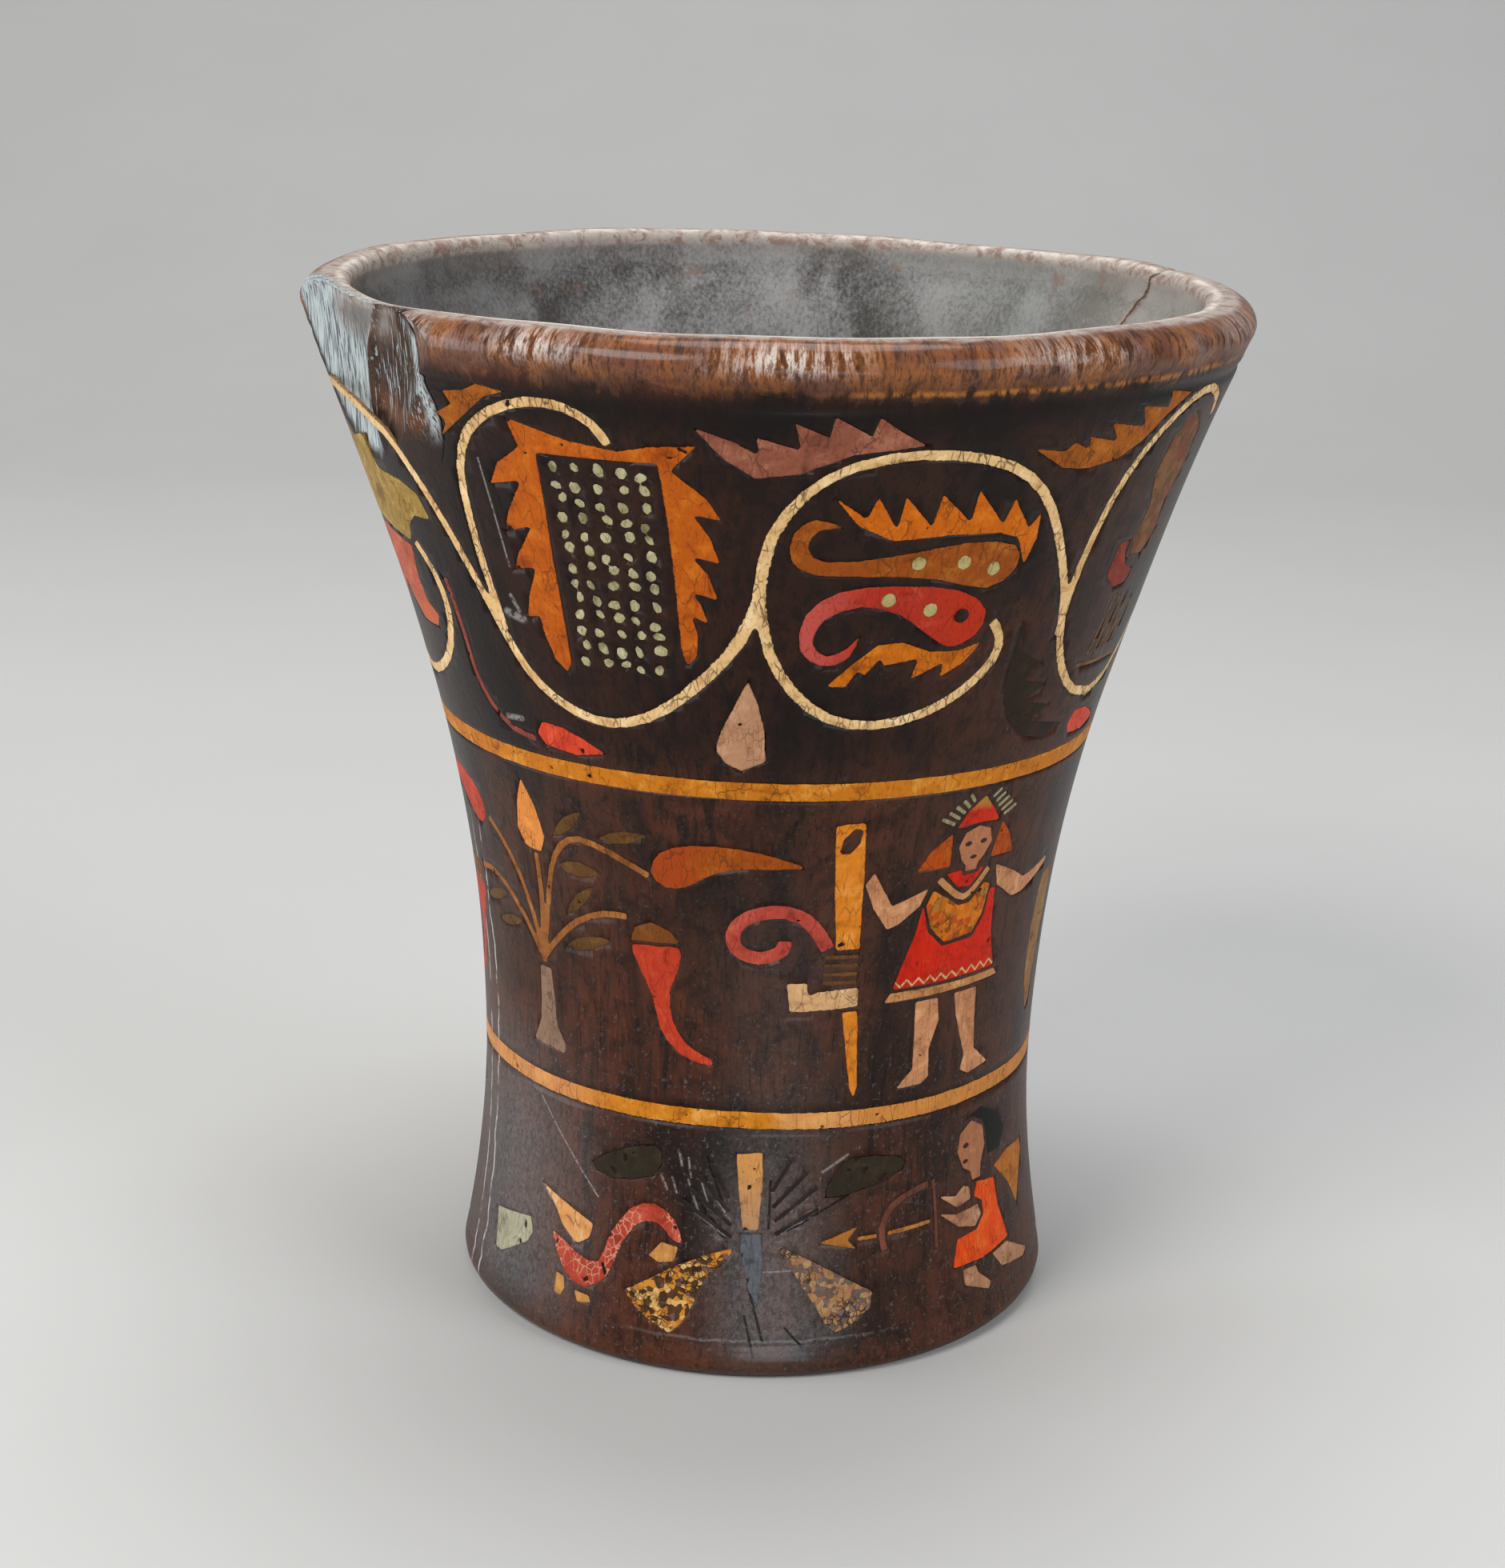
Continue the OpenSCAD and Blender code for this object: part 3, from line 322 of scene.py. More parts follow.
def pocketCutter(node, look):
    made = toObject("cutter_" + node, copyNode(node))
    points = readPoints(made.data)
    depth = depthIn(points)
    points = points + (pocket["gap"] + look["grow"]) * sideways(points, vertexNormals(made.data))
    phi, r, z = polar(drifted(points, look))
    r = wallRadius(z) + carvedWall(phi, z) + np.where(depth < 0.5, pocket["over"], -pocket["deep"])
    writePoints(made.data, unpolar(phi, r, z))
    return made


def evaluated(piece):  # a new mesh with the piece's modifiers applied
    bpy.context.view_layer.update()
    return bpy.data.meshes.new_from_object(piece.evaluated_get(bpy.context.evaluated_depsgraph_get()))


def cutPockets(wood):
    drawer = bpy.data.collections.new("cutters")
    for node, look in inlays.items():
        drawer.objects.link(pocketCutter(node, look))
    mod = wood.modifiers.new("pockets", "BOOLEAN")
    mod.operation = "DIFFERENCE"
    mod.operand_type = "COLLECTION"
    mod.collection = drawer
    mod.solver = "MANIFOLD"
    wood.data = evaluated(wood)
    wood.modifiers.clear()
    for cutter in list(drawer.objects):
        bpy.data.objects.remove(cutter)
    bpy.data.collections.remove(drawer)
    return wood


def finishSmooth(piece, angle):
    for face in piece.data.polygons:
        face.use_smooth = True
    piece.data.set_sharp_from_angle(angle=math.radians(angle))


def noiseAt(points, size, start=0):  # smooth noise from -1 to 1, size in mm
    shift = Vector((start, 1.7 * start, -start))
    return np.array([noise.noise(Vector(p) / size + shift) for p in points])


def drifted(points, look):  # small pieces sit a little out of line and out of round
    if not look["drift"]:
        return points
    phi, r, z = polar(points)
    phi = phi + np.degrees(look["drift"] * noiseAt(points, 3.1, 61) / r)
    return unpolar(phi, r, z + look["drift"] * noiseAt(points, 3.1, 83))


def storeValue(piece, label, values, domain="POINT"):
    layer = piece.data.attributes.new(label, "FLOAT", domain)
    layer.data.foreach_set("value", np.asarray(values, np.float32))


def inlayPiece(node, look):
    made = toObject("inlay_" + node, copyNode(node))
    mod = made.modifiers.new("even", "REMESH")
    mod.mode = "VOXEL"
    mod.voxel_size = look["grid"] * mm
    made.data = evaluated(made)
    made.modifiers.clear()
    bm = bmesh.new()
    bm.from_mesh(made.data)
    for repeat in range(look["soft"]):
        bmesh.ops.smooth_vert(bm, verts=bm.verts[:], factor=0.4,
                              use_axis_x=True, use_axis_y=True, use_axis_z=True)
    bm.to_mesh(made.data)
    bm.free()
    points = readPoints(made.data)
    depth = depthIn(points)
    phi, r, z = polar(points)
    # distance from the outline, measured along the wall
    flat = np.column_stack([np.radians(phi) * wallRadius(z), z, np.zeros(len(z))])
    sides = np.flatnonzero((depth > 0.4) & (depth < 0.75))
    tree = KDTree(len(sides))
    for i, j in enumerate(sides):
        tree.insert(flat[j], i)
    tree.balance()
    edge = np.array([tree.find(p)[2] if d < 0.4 else 0.0 for p, d in zip(flat, depth)])
    # hand-cut outline, worn edge, uneven face
    coarse = noiseAt(points, 2.2, 3)
    stray = look["stray"] * coarse + 0.4 * look["stray"] * noiseAt(points, 0.7, 9)
    near = np.where(depth > 0.3, 1, np.clip(1 - edge / setting["reach"], 0, 1))
    outward = (stray + setting["wider"] + look["grow"]) * near
    points = points + outward[:, None] * sideways(points, vertexNormals(made.data))
    points = drifted(points, look)
    loss = np.clip((noiseAt(points, 1.6, 21) - look["loss"]) * 9, 0, 1)
    for lostPhi, lostZ, lostSize in look["lost"]:
        away = np.hypot(np.radians(turnsApart(phi, lostPhi)) * r, z - lostZ)
        loss = np.maximum(loss, np.clip((lostSize - away) * 2.5 + coarse, 0, 1))
    face = np.clip(1 - depth / 0.45, 0, 1)
    phi, r, z = polar(points)
    sunk = np.clip((depth - 0.42) / 0.5, 0, 1) * setting["back"]
    lift = setting["proud"] + setting["uneven"] * noiseAt(points, 5, 5)
    lift -= setting["dip"] * np.exp(-(edge / 0.2) ** 2) + setting["flaked"] * loss
    r = wallRadius(z) + carvedWall(phi, z) - sunk + lift * face
    writePoints(made.data, unpolar(phi, r, z))
    storeValue(made, "edge", np.clip(edge, 0, 3))
    storeValue(made, "loss", loss * face)
    finishSmooth(made, 28)
    return made


class Wire:  # a shader socket that takes part in Python sums
    def __init__(self, finish, socket):
        self.finish, self.socket = finish, socket

    def math(self, operation, *values):
        return self.finish.node("Math", {"operation": operation}, dict(enumerate(values)))

    def __add__(self, other): return self.math("ADD", self, other)
    def __radd__(self, other): return self.math("ADD", other, self)
    def __sub__(self, other): return self.math("SUBTRACT", self, other)
    def __rsub__(self, other): return self.math("SUBTRACT", other, self)
    def __mul__(self, other): return self.math("MULTIPLY", self, other)
    def __rmul__(self, other): return self.math("MULTIPLY", other, self)
    def __truediv__(self, other): return self.math("DIVIDE", self, other)
    def __rtruediv__(self, other): return self.math("DIVIDE", other, self)
    def __neg__(self): return self.math("MULTIPLY", self, -1)
    def __abs__(self): return self.math("ABSOLUTE", self)
    def lesser(self, other): return self.math("MINIMUM", self, other)
    def greater(self, other): return self.math("MAXIMUM", self, other)
    def root(self): return self.math("SQRT", self)
    def wrapped(self, low, high): return self.math("WRAP", self, high, low)


def tone(rgb):  # a colour read off a screen, 0 to 255, as linear light
    linear = [c / 255 / 12.92 if c < 10.3 else ((c / 255 + 0.055) / 1.055) ** 2.4 for c in rgb]
    return (*linear, 1)


class Finish:  # one material and what makes its nodes
    def __init__(self, name):
        self.material = bpy.data.materials.new(name)
        self.material.use_nodes = True
        self.tree = self.material.node_tree
        self.tree.nodes.clear()
        where = self.node("TexCoord", out="Object")
        self.place = self.node("VectorMath", {"operation": "SCALE"}, {0: where, "Scale": 1000.0})  # in mm
        split = self.node("SeparateXYZ", {}, {0: self.place})
        self.x, self.y, self.z = (Wire(self, s) for s in split.socket.node.outputs)
        self.turn = self.x.math("ARCTAN2", self.x, -self.y) * math.degrees(1)  # degrees from the front
        self.radius = (self.x * self.x + self.y * self.y).root()

    def node(self, kind, settings={}, sockets={}, out=0):
        made = self.tree.nodes.new("ShaderNode" + kind)
        for key, value in settings.items():
            if key == "stops":
                ramp = made.color_ramp
                while len(ramp.elements) < len(value):
                    ramp.elements.new(1)
                for element, (at, rgb) in zip(ramp.elements, value):
                    element.position, element.color = at, tone(rgb)
            elif key == "steps":
                made.color_ramp.interpolation = value
            else:
                setattr(made, key, value)
        for key, value in sockets.items():
            if isinstance(value, Wire):
                self.tree.links.new(value.socket, made.inputs[key])
            else:
                made.inputs[key].default_value = value
        return Wire(self, made.outputs[out]) if len(made.outputs) else made

    def stretched(self, x, y, z):
        return self.node("VectorMath", {"operation": "MULTIPLY"}, {0: self.place, 1: (x, y, z)})

    def cloud(self, size, detail=4, rough=0.55, warp=0, stretch=None, shift=0, place=None):  # size in mm
        place = place or (self.stretched(*stretch) if stretch else self.place)
        if shift:
            place = self.node("VectorMath", {"operation": "ADD"}, {0: place, 1: (shift, -shift, 0.5 * shift)})
        return self.node("TexNoise", {}, {
            "Vector": place, "Scale": 1 / size, "Detail": detail, "Roughness": rough, "Distortion": warp})

    def cells(self, size, feature="DISTANCE_TO_EDGE", wobble=0, stretch=None, out=0):  # size in mm
        place = self.stretched(*stretch) if stretch else self.place
        if wobble:
            drift = self.node("TexNoise", {}, {"Vector": place, "Scale": 0.9 / size, "Detail": 3}, out=1)
            drift = self.node("VectorMath", {"operation": "SCALE"}, {0: drift, "Scale": wobble})
            place = self.node("VectorMath", {"operation": "ADD"}, {0: place, 1: drift})
        return self.node("TexVoronoi", {"feature": feature}, {"Vector": place, "Scale": 1 / size}, out=out)

    def fade(self, value, low, high):  # 0 below low, 1 above high
        return self.node("MapRange", {"interpolation_type": "SMOOTHSTEP"}, {0: value, 1: low, 2: high})

    def band(self, value, middle, width):  # 1 at middle, 0 a width away
        return 1 - self.fade(abs(value - middle), 0.0, width)

    def blend(self, first, second, amount):
        first, second = (c if isinstance(c, Wire) else tone(c) for c in (first, second))
        return self.node("Mix", {"data_type": "RGBA"}, {0: amount, 6: first, 7: second}, out=2)

    def stroke(self, flat, start, end):  # distance in mm from a line on the unrolled wall
        run = Vector(end) - Vector(start)
        away = self.node("VectorMath", {"operation": "SUBTRACT"}, {0: flat, 1: start})
        unit = run / run.length_squared
        share = self.node("VectorMath", {"operation": "DOT_PRODUCT"}, {0: away, 1: unit}, out="Value")
        along = self.node("VectorMath", {"operation": "SCALE"}, {0: run, "Scale": share.greater(0).lesser(1)})
        rest = self.node("VectorMath", {"operation": "SUBTRACT"}, {0: away, 1: along})
        return self.node("VectorMath", {"operation": "LENGTH"}, {0: rest}, out="Value")

    def value(self, label):
        return self.node("Attribute", {"attribute_name": label}, out="Fac")

    def close(self, color, rough, height, depth, coat=0.0, coatRough=0.2, level=0.5):
        normal = self.node("Bump", {}, {"Height": height, "Distance": depth * mm, "Strength": 1.0})
        surface = self.node("BsdfPrincipled", {}, {
            "Base Color": color, "Roughness": rough, "Normal": normal, "Coat Roughness": coatRough,
            "Coat Weight": coat, "Specular IOR Level": level})
        self.node("OutputMaterial", {}, {"Surface": surface})
        return self.material


wood = {
    "black": (14, 10, 9), "dark": (38, 25, 20), "brown": (68, 40, 28), "red": (94, 50, 32), "paintedSheen": (134, 131, 131),
    "lip": (140, 84, 42), "lipRed": (108, 66, 48), "ledgeHighlight": (190, 118, 44), "scuff": (206, 198, 190),
    "rim": (174, 163, 154), "pink": (132, 98, 82), "edge": (230, 222, 213), "foot": (108, 64, 42),
    "inside": (152, 151, 150), "insideDark": (64, 60, 58), "insideGreen": (148, 152, 144),
    "pale": (182, 190, 191), "fibre": (58, 57, 60), "split": (76, 57, 46), "splitDark": (28, 20, 17),
    "rust": (146, 86, 40),
    "ledgeZ": 181.8, "footLineZ": 7.4, "longCracks": (-67, -72),  # heights in mm, directions in degrees
    "rubbedAndLit": [  # places on the lip with pale scuffs and a painted highlight: [degrees, width, share]
        [1, 11, 1], [-27, 10, 0.9], [-46, 8, 0.9], [34, 12, 0.6], [68, 14, 0.5], [-150, 20, 0.6], [160, 24, 0.5],
    ],
    "nicks": [  # pale lines: [from degrees, from height, to degrees, to height, width in mm]
        [-48, 45, -32, 30, 0.3], [-18.2, 36.6, -17, 34.2, 0.4], [-16, 36.6, -15, 33.8, 0.3],
        [-14.7, 41.6, -14.1, 39, 0.35], [-12.8, 40.6, -12.2, 37, 0.3], [-12.8, 36.5, -10.6, 31, 0.3],
        [-10, 36, -8.5, 32, 0.25], [-6.6, 33, -4.4, 29.6, 0.4], [-11, 30.5, -5.2, 26.6, 0.25],
        [13.6, 38.6, 18.6, 41.6, 0.4], [10.4, 30.8, 13, 31.8, 0.3], [2.4, 20, 7.6, 20.2, 0.25],
        [-37.6, 166.6, -36.9, 148, 0.3], [-45, 119.1, -41.6, 119.4, 0.8], [-39.4, 139.4, -36.6, 138.6, 1.1],
        [-38, 142.6, -37, 140, 0.6],
    ],
    "cuts": [  # dark lines, the same way
        [-9, 41, -6, 33, 0.4], [-11.6, 34, -4.8, 25.6, 0.45], [-1, 12, 0.8, 4.6, 0.35], [0, 16, 2.4, 7.6, 0.4],
        [6.6, 9.8, 9.8, 6.2, 0.35], [7, 27.6, 19, 34, 0.35], [3.4, 37, 3.2, 28, 0.35],
    ],
}


def woodFinish():
    f = Finish("wood_polished")
    z, turn, radius = f.z, f.turn, f.radius
    arc = radius * degree  # mm along the wall for one degree
    blotch = f.cloud(24, 5, 0.6, 0.6, (1, 1, 0.45))
    grain = f.cloud(2.4, 6, 0.65, 0.25, (1, 1, 0.07))
    pores = f.cloud(0.5, 3, 0.5, 0, (1, 1, 0.06))
    speck = f.cloud(0.9, 5, 0.65, 0.4)
    worn = f.cloud(6, 6, 0.7, 0.8)
    broad = f.cloud(60, 3, 0.5, 0.4, shift=40)
    stray = worn - 0.5  # makes every border below uneven
    color = f.blend(wood["dark"], wood["brown"], f.fade(blotch, 0.4, 0.58))

    def paint(shade, amount):
        nonlocal color
        color = f.blend(color, wood[shade], amount)

    reddish = f.fade(f.cloud(34, 4, 0.6, 0.5, (1, 1, 0.6), shift=40), 0.44, 0.62)
    paint("red", reddish * f.fade(grain, 0.36, 0.6) * 0.9)
    paint("black", f.fade(grain, 0.46, 0.7) * 0.6)
    paint("black", f.fade(worn, 0.42, 0.68) * 0.6)
    paint("black", f.fade(pores, 0.56, 0.7) * 0.6)
    # painted shade: the upper band darker, less so towards the right
    upper = f.fade(z, 108, 120) * (1 - f.fade(z + worn * 6, 178, 185))
    paint("black", upper * (0.66 - f.fade(turn, 5, 40) * 0.36))
    # painted sheen: reflections painted in pale grey on the lower front and the lower left, broken by fine wrinkles
    swayed = turn + (blotch - 0.5) * 12
    sheen = f.band(swayed, 4, 20) * (0.18 + (1 - f.fade(z, 12, 60)) * 0.82) * (1 - f.fade(z, 70, 104))
    sheen = sheen.greater(f.band(swayed, -54, 30) * (1 - f.fade(z, 34, 66)))
    wrinkle = f.cloud(0.8, 5, 0.75, 0.8, (1, 1, 0.7), shift=37)
    paintedSheen = sheen * f.fade(z, 1, 10) * (0.25 + f.fade(wrinkle, 0.36, 0.62) * 0.75)
    paint("paintedSheen", paintedSheen * 0.42)
    # painted glints: tiny pale specks, most on the lower wall
    glint = f.fade(f.cloud(0.7, 4, 0.7, 0.5, (1, 1, 0.8), shift=91), 0.56, 0.68) * f.fade(worn, 0.36, 0.56)
    paint("paintedSheen", glint * (0.12 + (1 - f.fade(z, 50, 70)) * 0.2) * (1 - f.fade(z, 108, 124)))
    # worn lip with dark streaks and a dark band below it, pale scuffs on its top that are partly a painted
    # highlight, and a painted highlight along the ledge below it
    ring = cup["markR"] / radius
    around = f.node("CombineXYZ", {}, {0: f.x * ring, 1: f.y * ring, 2: z * 0.3})
    streak = f.cloud(1.5, 6, 0.7, 0.3, shift=51, place=around)
    fine = f.cloud(0.42, 4, 0.68, shift=12, place=around)
    patch = f.cloud(8, 5, 0.65, 0.6, shift=23)
    lip = f.fade(z + stray * 9 + (streak - 0.5) * 7, 180.5, 184)
    paint("black", f.band(z + worn * 4, 180, 6) * 0.8)
    color = f.blend(color, f.blend(wood["lip"], wood["lipRed"], f.fade(patch, 0.42, 0.58)), lip * 0.92)
    paint("black", lip * f.fade(streak, 0.5, 0.62) * 0.62)
    paint("black", lip * f.fade(fine, 0.52, 0.64) * 0.6)
    # painted highlight along the ledge below the lip, on the front and right
    ledgeHighlight = f.band(z + stray * 0.9, wood["ledgeZ"], 0.8) * f.fade(turn, 2, 14) * (1 - f.fade(turn, 62, 78))
    paint("ledgeHighlight", ledgeHighlight * f.fade(streak, 0.38, 0.56) * f.fade(worn, 0.36, 0.54) * 0.75)
    # pale scuffs on the lip's top, partly painted highlight, strongest at the listed places
    rubbedAndLit = f.fade(broad, 0.5, 0.62) * 0.5
    for middle, width, share in wood["rubbedAndLit"]:
        rubbedAndLit = rubbedAndLit.greater(f.band(turn + stray * 12, middle, width) * share)
    scraped = f.fade(1 - streak, 0.44, 0.54) * (0.25 + f.fade(1 - fine, 0.44, 0.54) * 0.75)
    paint("scuff", scraped * rubbedAndLit * f.band(z + stray * 4, 187, 3.6) * 0.9)
    # worn foot, and a painted highlight along its turned line at the front
    foot = 1 - f.fade(z + worn * 7 - grain * 3, 3, 10)
    paint("foot", foot * f.fade(speck, 0.36, 0.64) * 0.35)
    footLine = f.band(z + stray * 1.4, wood["footLineZ"], 0.5) * f.band(turn, 2, 34)
    paint("paintedSheen", footLine * f.fade(speck, 0.36, 0.54) * 0.6)
    # inside
    inside = f.value("inside")
    mottle = f.cloud(0.7, 4, 0.7, 0.2, (1, 1, 0.7), shift=9) * 0.4 + f.cloud(20, 4, 0.55, 0.5, shift=9) * 0.6
    lining = f.blend(wood["insideDark"], wood["inside"], f.fade(mottle, 0.35, 0.62))
    # inside: painted light, paler towards the right and near the rim; painted shade, darker at the left and further
    # down; greener towards the right; random pink blotches
    for shade, amount in (
            ("insideGreen", f.fade(f.x, 5, 60) * 0.3),
            ("rim", f.fade(f.x, 48, 74) * 0.4),
            ("insideDark", (1 - f.fade(f.x, -70, -20)) * 0.6),
            ("pink", f.fade(f.cloud(9, 4, 0.6, 0.5, shift=66), 0.6, 0.7) * 0.5),
            ("rim", f.fade(z + worn * 6, 184, 193) * 0.4),
            ("insideDark", (1 - f.fade(z + worn * 12, 140, 184)) * 0.75)):
        lining = f.blend(lining, wood[shade], amount)
    color = f.blend(color, lining, inside)
    # top of the rim, a painted highlight along its inner edge that is strongest at the front, and the far crack
    top = (1 - f.fade(radius + stray * 3, 80.6, 82.2)) * f.fade(z + stray * 1.2, 186.4, 187.6)
    patchy = f.fade(f.cloud(3.2, 6, 0.75, 0.6, shift=15), 0.46, 0.6)
    rim = f.blend(wood["rim"], wood["pink"], patchy * 0.85)
    color = f.blend(color, rim, top * (0.7 + f.fade(speck, 0.35, 0.6) * 0.25))
    paint("edge", f.band(radius + stray * 1.5, 77.6, 1.4) * f.fade(z, 186.8, 188) * f.fade(worn, 0.4, 0.56) * 0.6)
    front = 1 - f.fade(f.y, -78, -52)
    paint("edge", f.band(radius + stray, 78, 2.2) * f.fade(z, 187, 188.2) * front * 0.8)
    crackAcross = (turn - farCrackTurn(z)) * arc + stray * 4
    paint("pink", f.band(crackAcross, 0, 2.4) * f.fade(z, 164, 176) * f.fade(speck, 0.42, 0.54) * 0.8)
    paint("rim", f.band(crackAcross, 0.9, 0.8) * f.fade(z, 166, 178) * 0.6)
    paint("split", f.band(crackAcross, 0, 0.8) * f.fade(z, 164, 178) * 0.9)

    # the split: a pale side, a brown side and a crack
    def alongSplit(axis):
        return (f.x * axis.x + f.y * axis.y + z * axis.z) - axis.dot(splitPoint)

    u, v = alongSplit(splitAcross), alongSplit(splitDown)
    outside = (1 - inside) * f.fade(alongSplit(splitNormal), -7, -5)
    fibre = f.cloud(0.7, 5, 0.62, 0.1, (1.3, 1.3, 0.09), shift=3)
    ragged = (fibre - 0.5) * 3
    right = f.fade(u - paleEdge(v) + ragged * 0.4, -0.5, 0.6)
    left = f.value("torn") * (1 - right)
    color = f.blend(color, f.blend(wood["pale"], wood["fibre"], f.fade(fibre, 0.46, 0.6) * 0.85), left)
    fromCrack = u - crackLine(v)
    tongue = outside * right * (1 - f.fade(fromCrack, -0.2, 0.3)) * (1 - f.fade(v + ragged * 1.5, 18, 24))
    rough = f.blend(wood["split"], wood["splitDark"], f.fade(fibre, 0.44, 0.58))
    rough = f.blend(rough, wood["pale"], f.fade(fibre, 0.54, 0.62) * 0.8)
    rough = f.blend(rough, wood["rust"], f.fade(v, 14, 20) * f.fade(worn, 0.42, 0.6) * 0.35)
    splinter = f.band(fromCrack, -1.9, 2.4) * f.fade(v, 2, 6) * f.fade(fibre, 0.4, 0.5)
    rough = f.blend(rough, wood["pale"], splinter * 0.95)
    color = f.blend(color, rough, tongue)
    gash = (1 - f.fade(abs(fromCrack), 0.15, 0.5)) * outside * (1 - f.fade(v, 24, 27))
    paint("black", gash)
    # long cracks at the left, nicks and cuts
    sway = (f.cloud(9, 3, 0.5, 0, (0, 0, 1)) - 0.5) * 5
    first, second = wood["longCracks"]
    gap = abs((turn - first + sway) * arc).lesser(abs((turn - second + sway * 0.6) * arc))
    pale = (1 - f.fade(gap, 0.1, 0.5)) * (1 - f.fade(z, 84, 97)) * (1 - inside) * f.fade(worn, 0.38, 0.54) * 0.75
    flat = f.node("CombineXYZ", {}, {0: turn * arc, 1: z})

    def strokes(lines):
        most = None
        for fromTurn, fromZ, toTurn, toZ, width in lines:
            ends = [(math.radians(a) * float(wallRadius(h)), h, 0) for a, h in ((fromTurn, fromZ), (toTurn, toZ))]
            mark = 1 - f.fade(f.stroke(flat, *ends) + (speck - 0.5) * 0.5, width * 0.3, width)
            most = mark if most is None else most.greater(mark)
        return most

    dark = strokes(wood["cuts"]) * f.fade(speck, 0.3, 0.5)
    paint("black", dark)
    pale = pale.greater(strokes(wood["nicks"]) * f.fade(speck, 0.34, 0.6) * 0.36)
    scuff = f.fade(f.cloud(1.0, 4, 0.7, 1.5, (1, 1, 0.3), shift=17), 0.68, 0.76) * f.fade(broad, 0.4, 0.6)
    pale = pale.greater(scuff * 0.3)
    paint("scuff", pale)
    # pocket walls painted black as shade, gloss and relief
    torn = left.greater(tongue)
    socket = f.value("pocket")
    paint("black", socket * 0.9)
    shine = 0.26 + blotch * 0.12 + speck * 0.14 + (torn + socket) * 0.4 + inside * 0.25 + pale * 0.3 + lip * 0.06
    pits = f.fade(speck, 0.5, 0.7) * (1 - f.fade(z, 40, 62))
    height = grain * 0.35 + pores * 0.2 + worn * 0.5 + speck * 0.2 + wrinkle * sheen * 1.4
    height = height + lip * (streak + fine * 0.6) * 0.9 + torn * fibre * 2.4
    height = height - pits * 0.25 - pale * 0.4 - dark * 0.8 - gash
    varnish = (1 - torn) * (1 - inside * 0.8) * (1 - socket) * (0.07 + lip * 0.25 + sheen * 0.36)
    return f.close(color, shine.lesser(0.95), height, 0.2, coat=varnish, coatRough=0.16, level=0.1)


resin = {"grimeAndShade": (50, 32, 24), "pit": (44, 28, 22), "bare": (46, 30, 25)}


def resinFinish(node, look):
    f = Finish("resin_" + node)
    light, middle, deep = look["tones"]
    mottle = f.cloud(4.5, 5, 0.65, 0.5, shift=5)
    grit = f.cloud(0.55, 4, 0.7, 0.3)
    color = f.blend(deep, middle, f.fade(mottle, 0.3, 0.48))
    color = f.blend(color, light, f.fade(mottle, 0.5, 0.68))
    turn = f.turn.wrapped(-90, 90)  # the back repeats the front
    if "mosaic" in look:
        pick = f.cells(look["chip"], "F1", 0.5, out="Color")
        pick = f.node("SeparateColor", {}, {0: pick})
        share = 1 / len(look["mosaic"])
        stops = [(i * share, rgb) for i, rgb in enumerate(look["mosaic"])]
        mosaic = f.node("ValToRGB", {"steps": "CONSTANT", "stops": stops}, {0: pick})
        color = f.blend(color, mosaic, look["mosaicShare"])
    for where, unevenness, share, changes in (
            (turn, 6, look["acrossShare"], look["across"]), (f.z, 4, 1, look["up"])):
        for low, high, rgb in changes:  # colour that changes round the cup in degrees, or with height in mm
            there = f.fade(where + (mottle - 0.5) * unevenness, min(low, high), max(low, high))
            color = f.blend(color, rgb, (there if low < high else 1 - there) * share)
    if "zigzag" in look:
        level, rise, pitch, width, rgb = look["zigzag"]
        saw = abs((turn / pitch).math("FRACT", turn / pitch) - 0.5) * 2
        color = f.blend(color, rgb, 1 - f.fade(abs(f.z - level - saw * rise), width * 0.5, width))
    color = f.blend(color, deep, f.fade(grit, 0.54, 0.7) * 0.5)
    hair = f.fade(f.cloud(0.5, 3, 0.55, 0.2, (1, 1, 0.07), shift=13), 0.56, 0.66)
    color = f.blend(color, deep, hair * 0.45)
    size, width, strength, rgb = look["crack"]
    crackle = 1 - f.fade(f.cells(size, wobble=0.9 * size, stretch=look["crackStretch"]), width * 0.3, width)
    crackle = crackle * f.fade(f.cloud(5, 3, 0.5, shift=31), 0.42, 0.58)
    color = f.blend(color, rgb, crackle * strength)
    color = f.blend(color, resin["pit"], f.fade(f.cloud(0.8, 3, 0.6, 0.5, shift=77), 0.66, 0.74) * look["pits"])
    # painted shade and grime: darker along each piece's edge, where it meets the wood
    edge, loss = f.value("edge"), f.value("loss")
    grimeAndShade = 1 - f.fade(edge + (grit - 0.5) * 0.3, 0.0, 0.16)
    color = f.blend(color, resin["grimeAndShade"], grimeAndShade * look["grimeAndShade"])
    bare = f.fade(loss, 0.25, 0.7)
    color = f.blend(color, resin["bare"], bare)
    rough = 0.36 + grit * 0.2 + mottle * 0.08 + crackle * 0.15 + bare * 0.25
    height = mottle * 0.3 + grit * 0.3 - crackle * 0.5 - hair * 0.2
    return f.close(color, rough.lesser(0.95), height, 0.12, coat=0.04, coatRough=0.25, level=0.1)


darkCrack = (62, 38, 24)
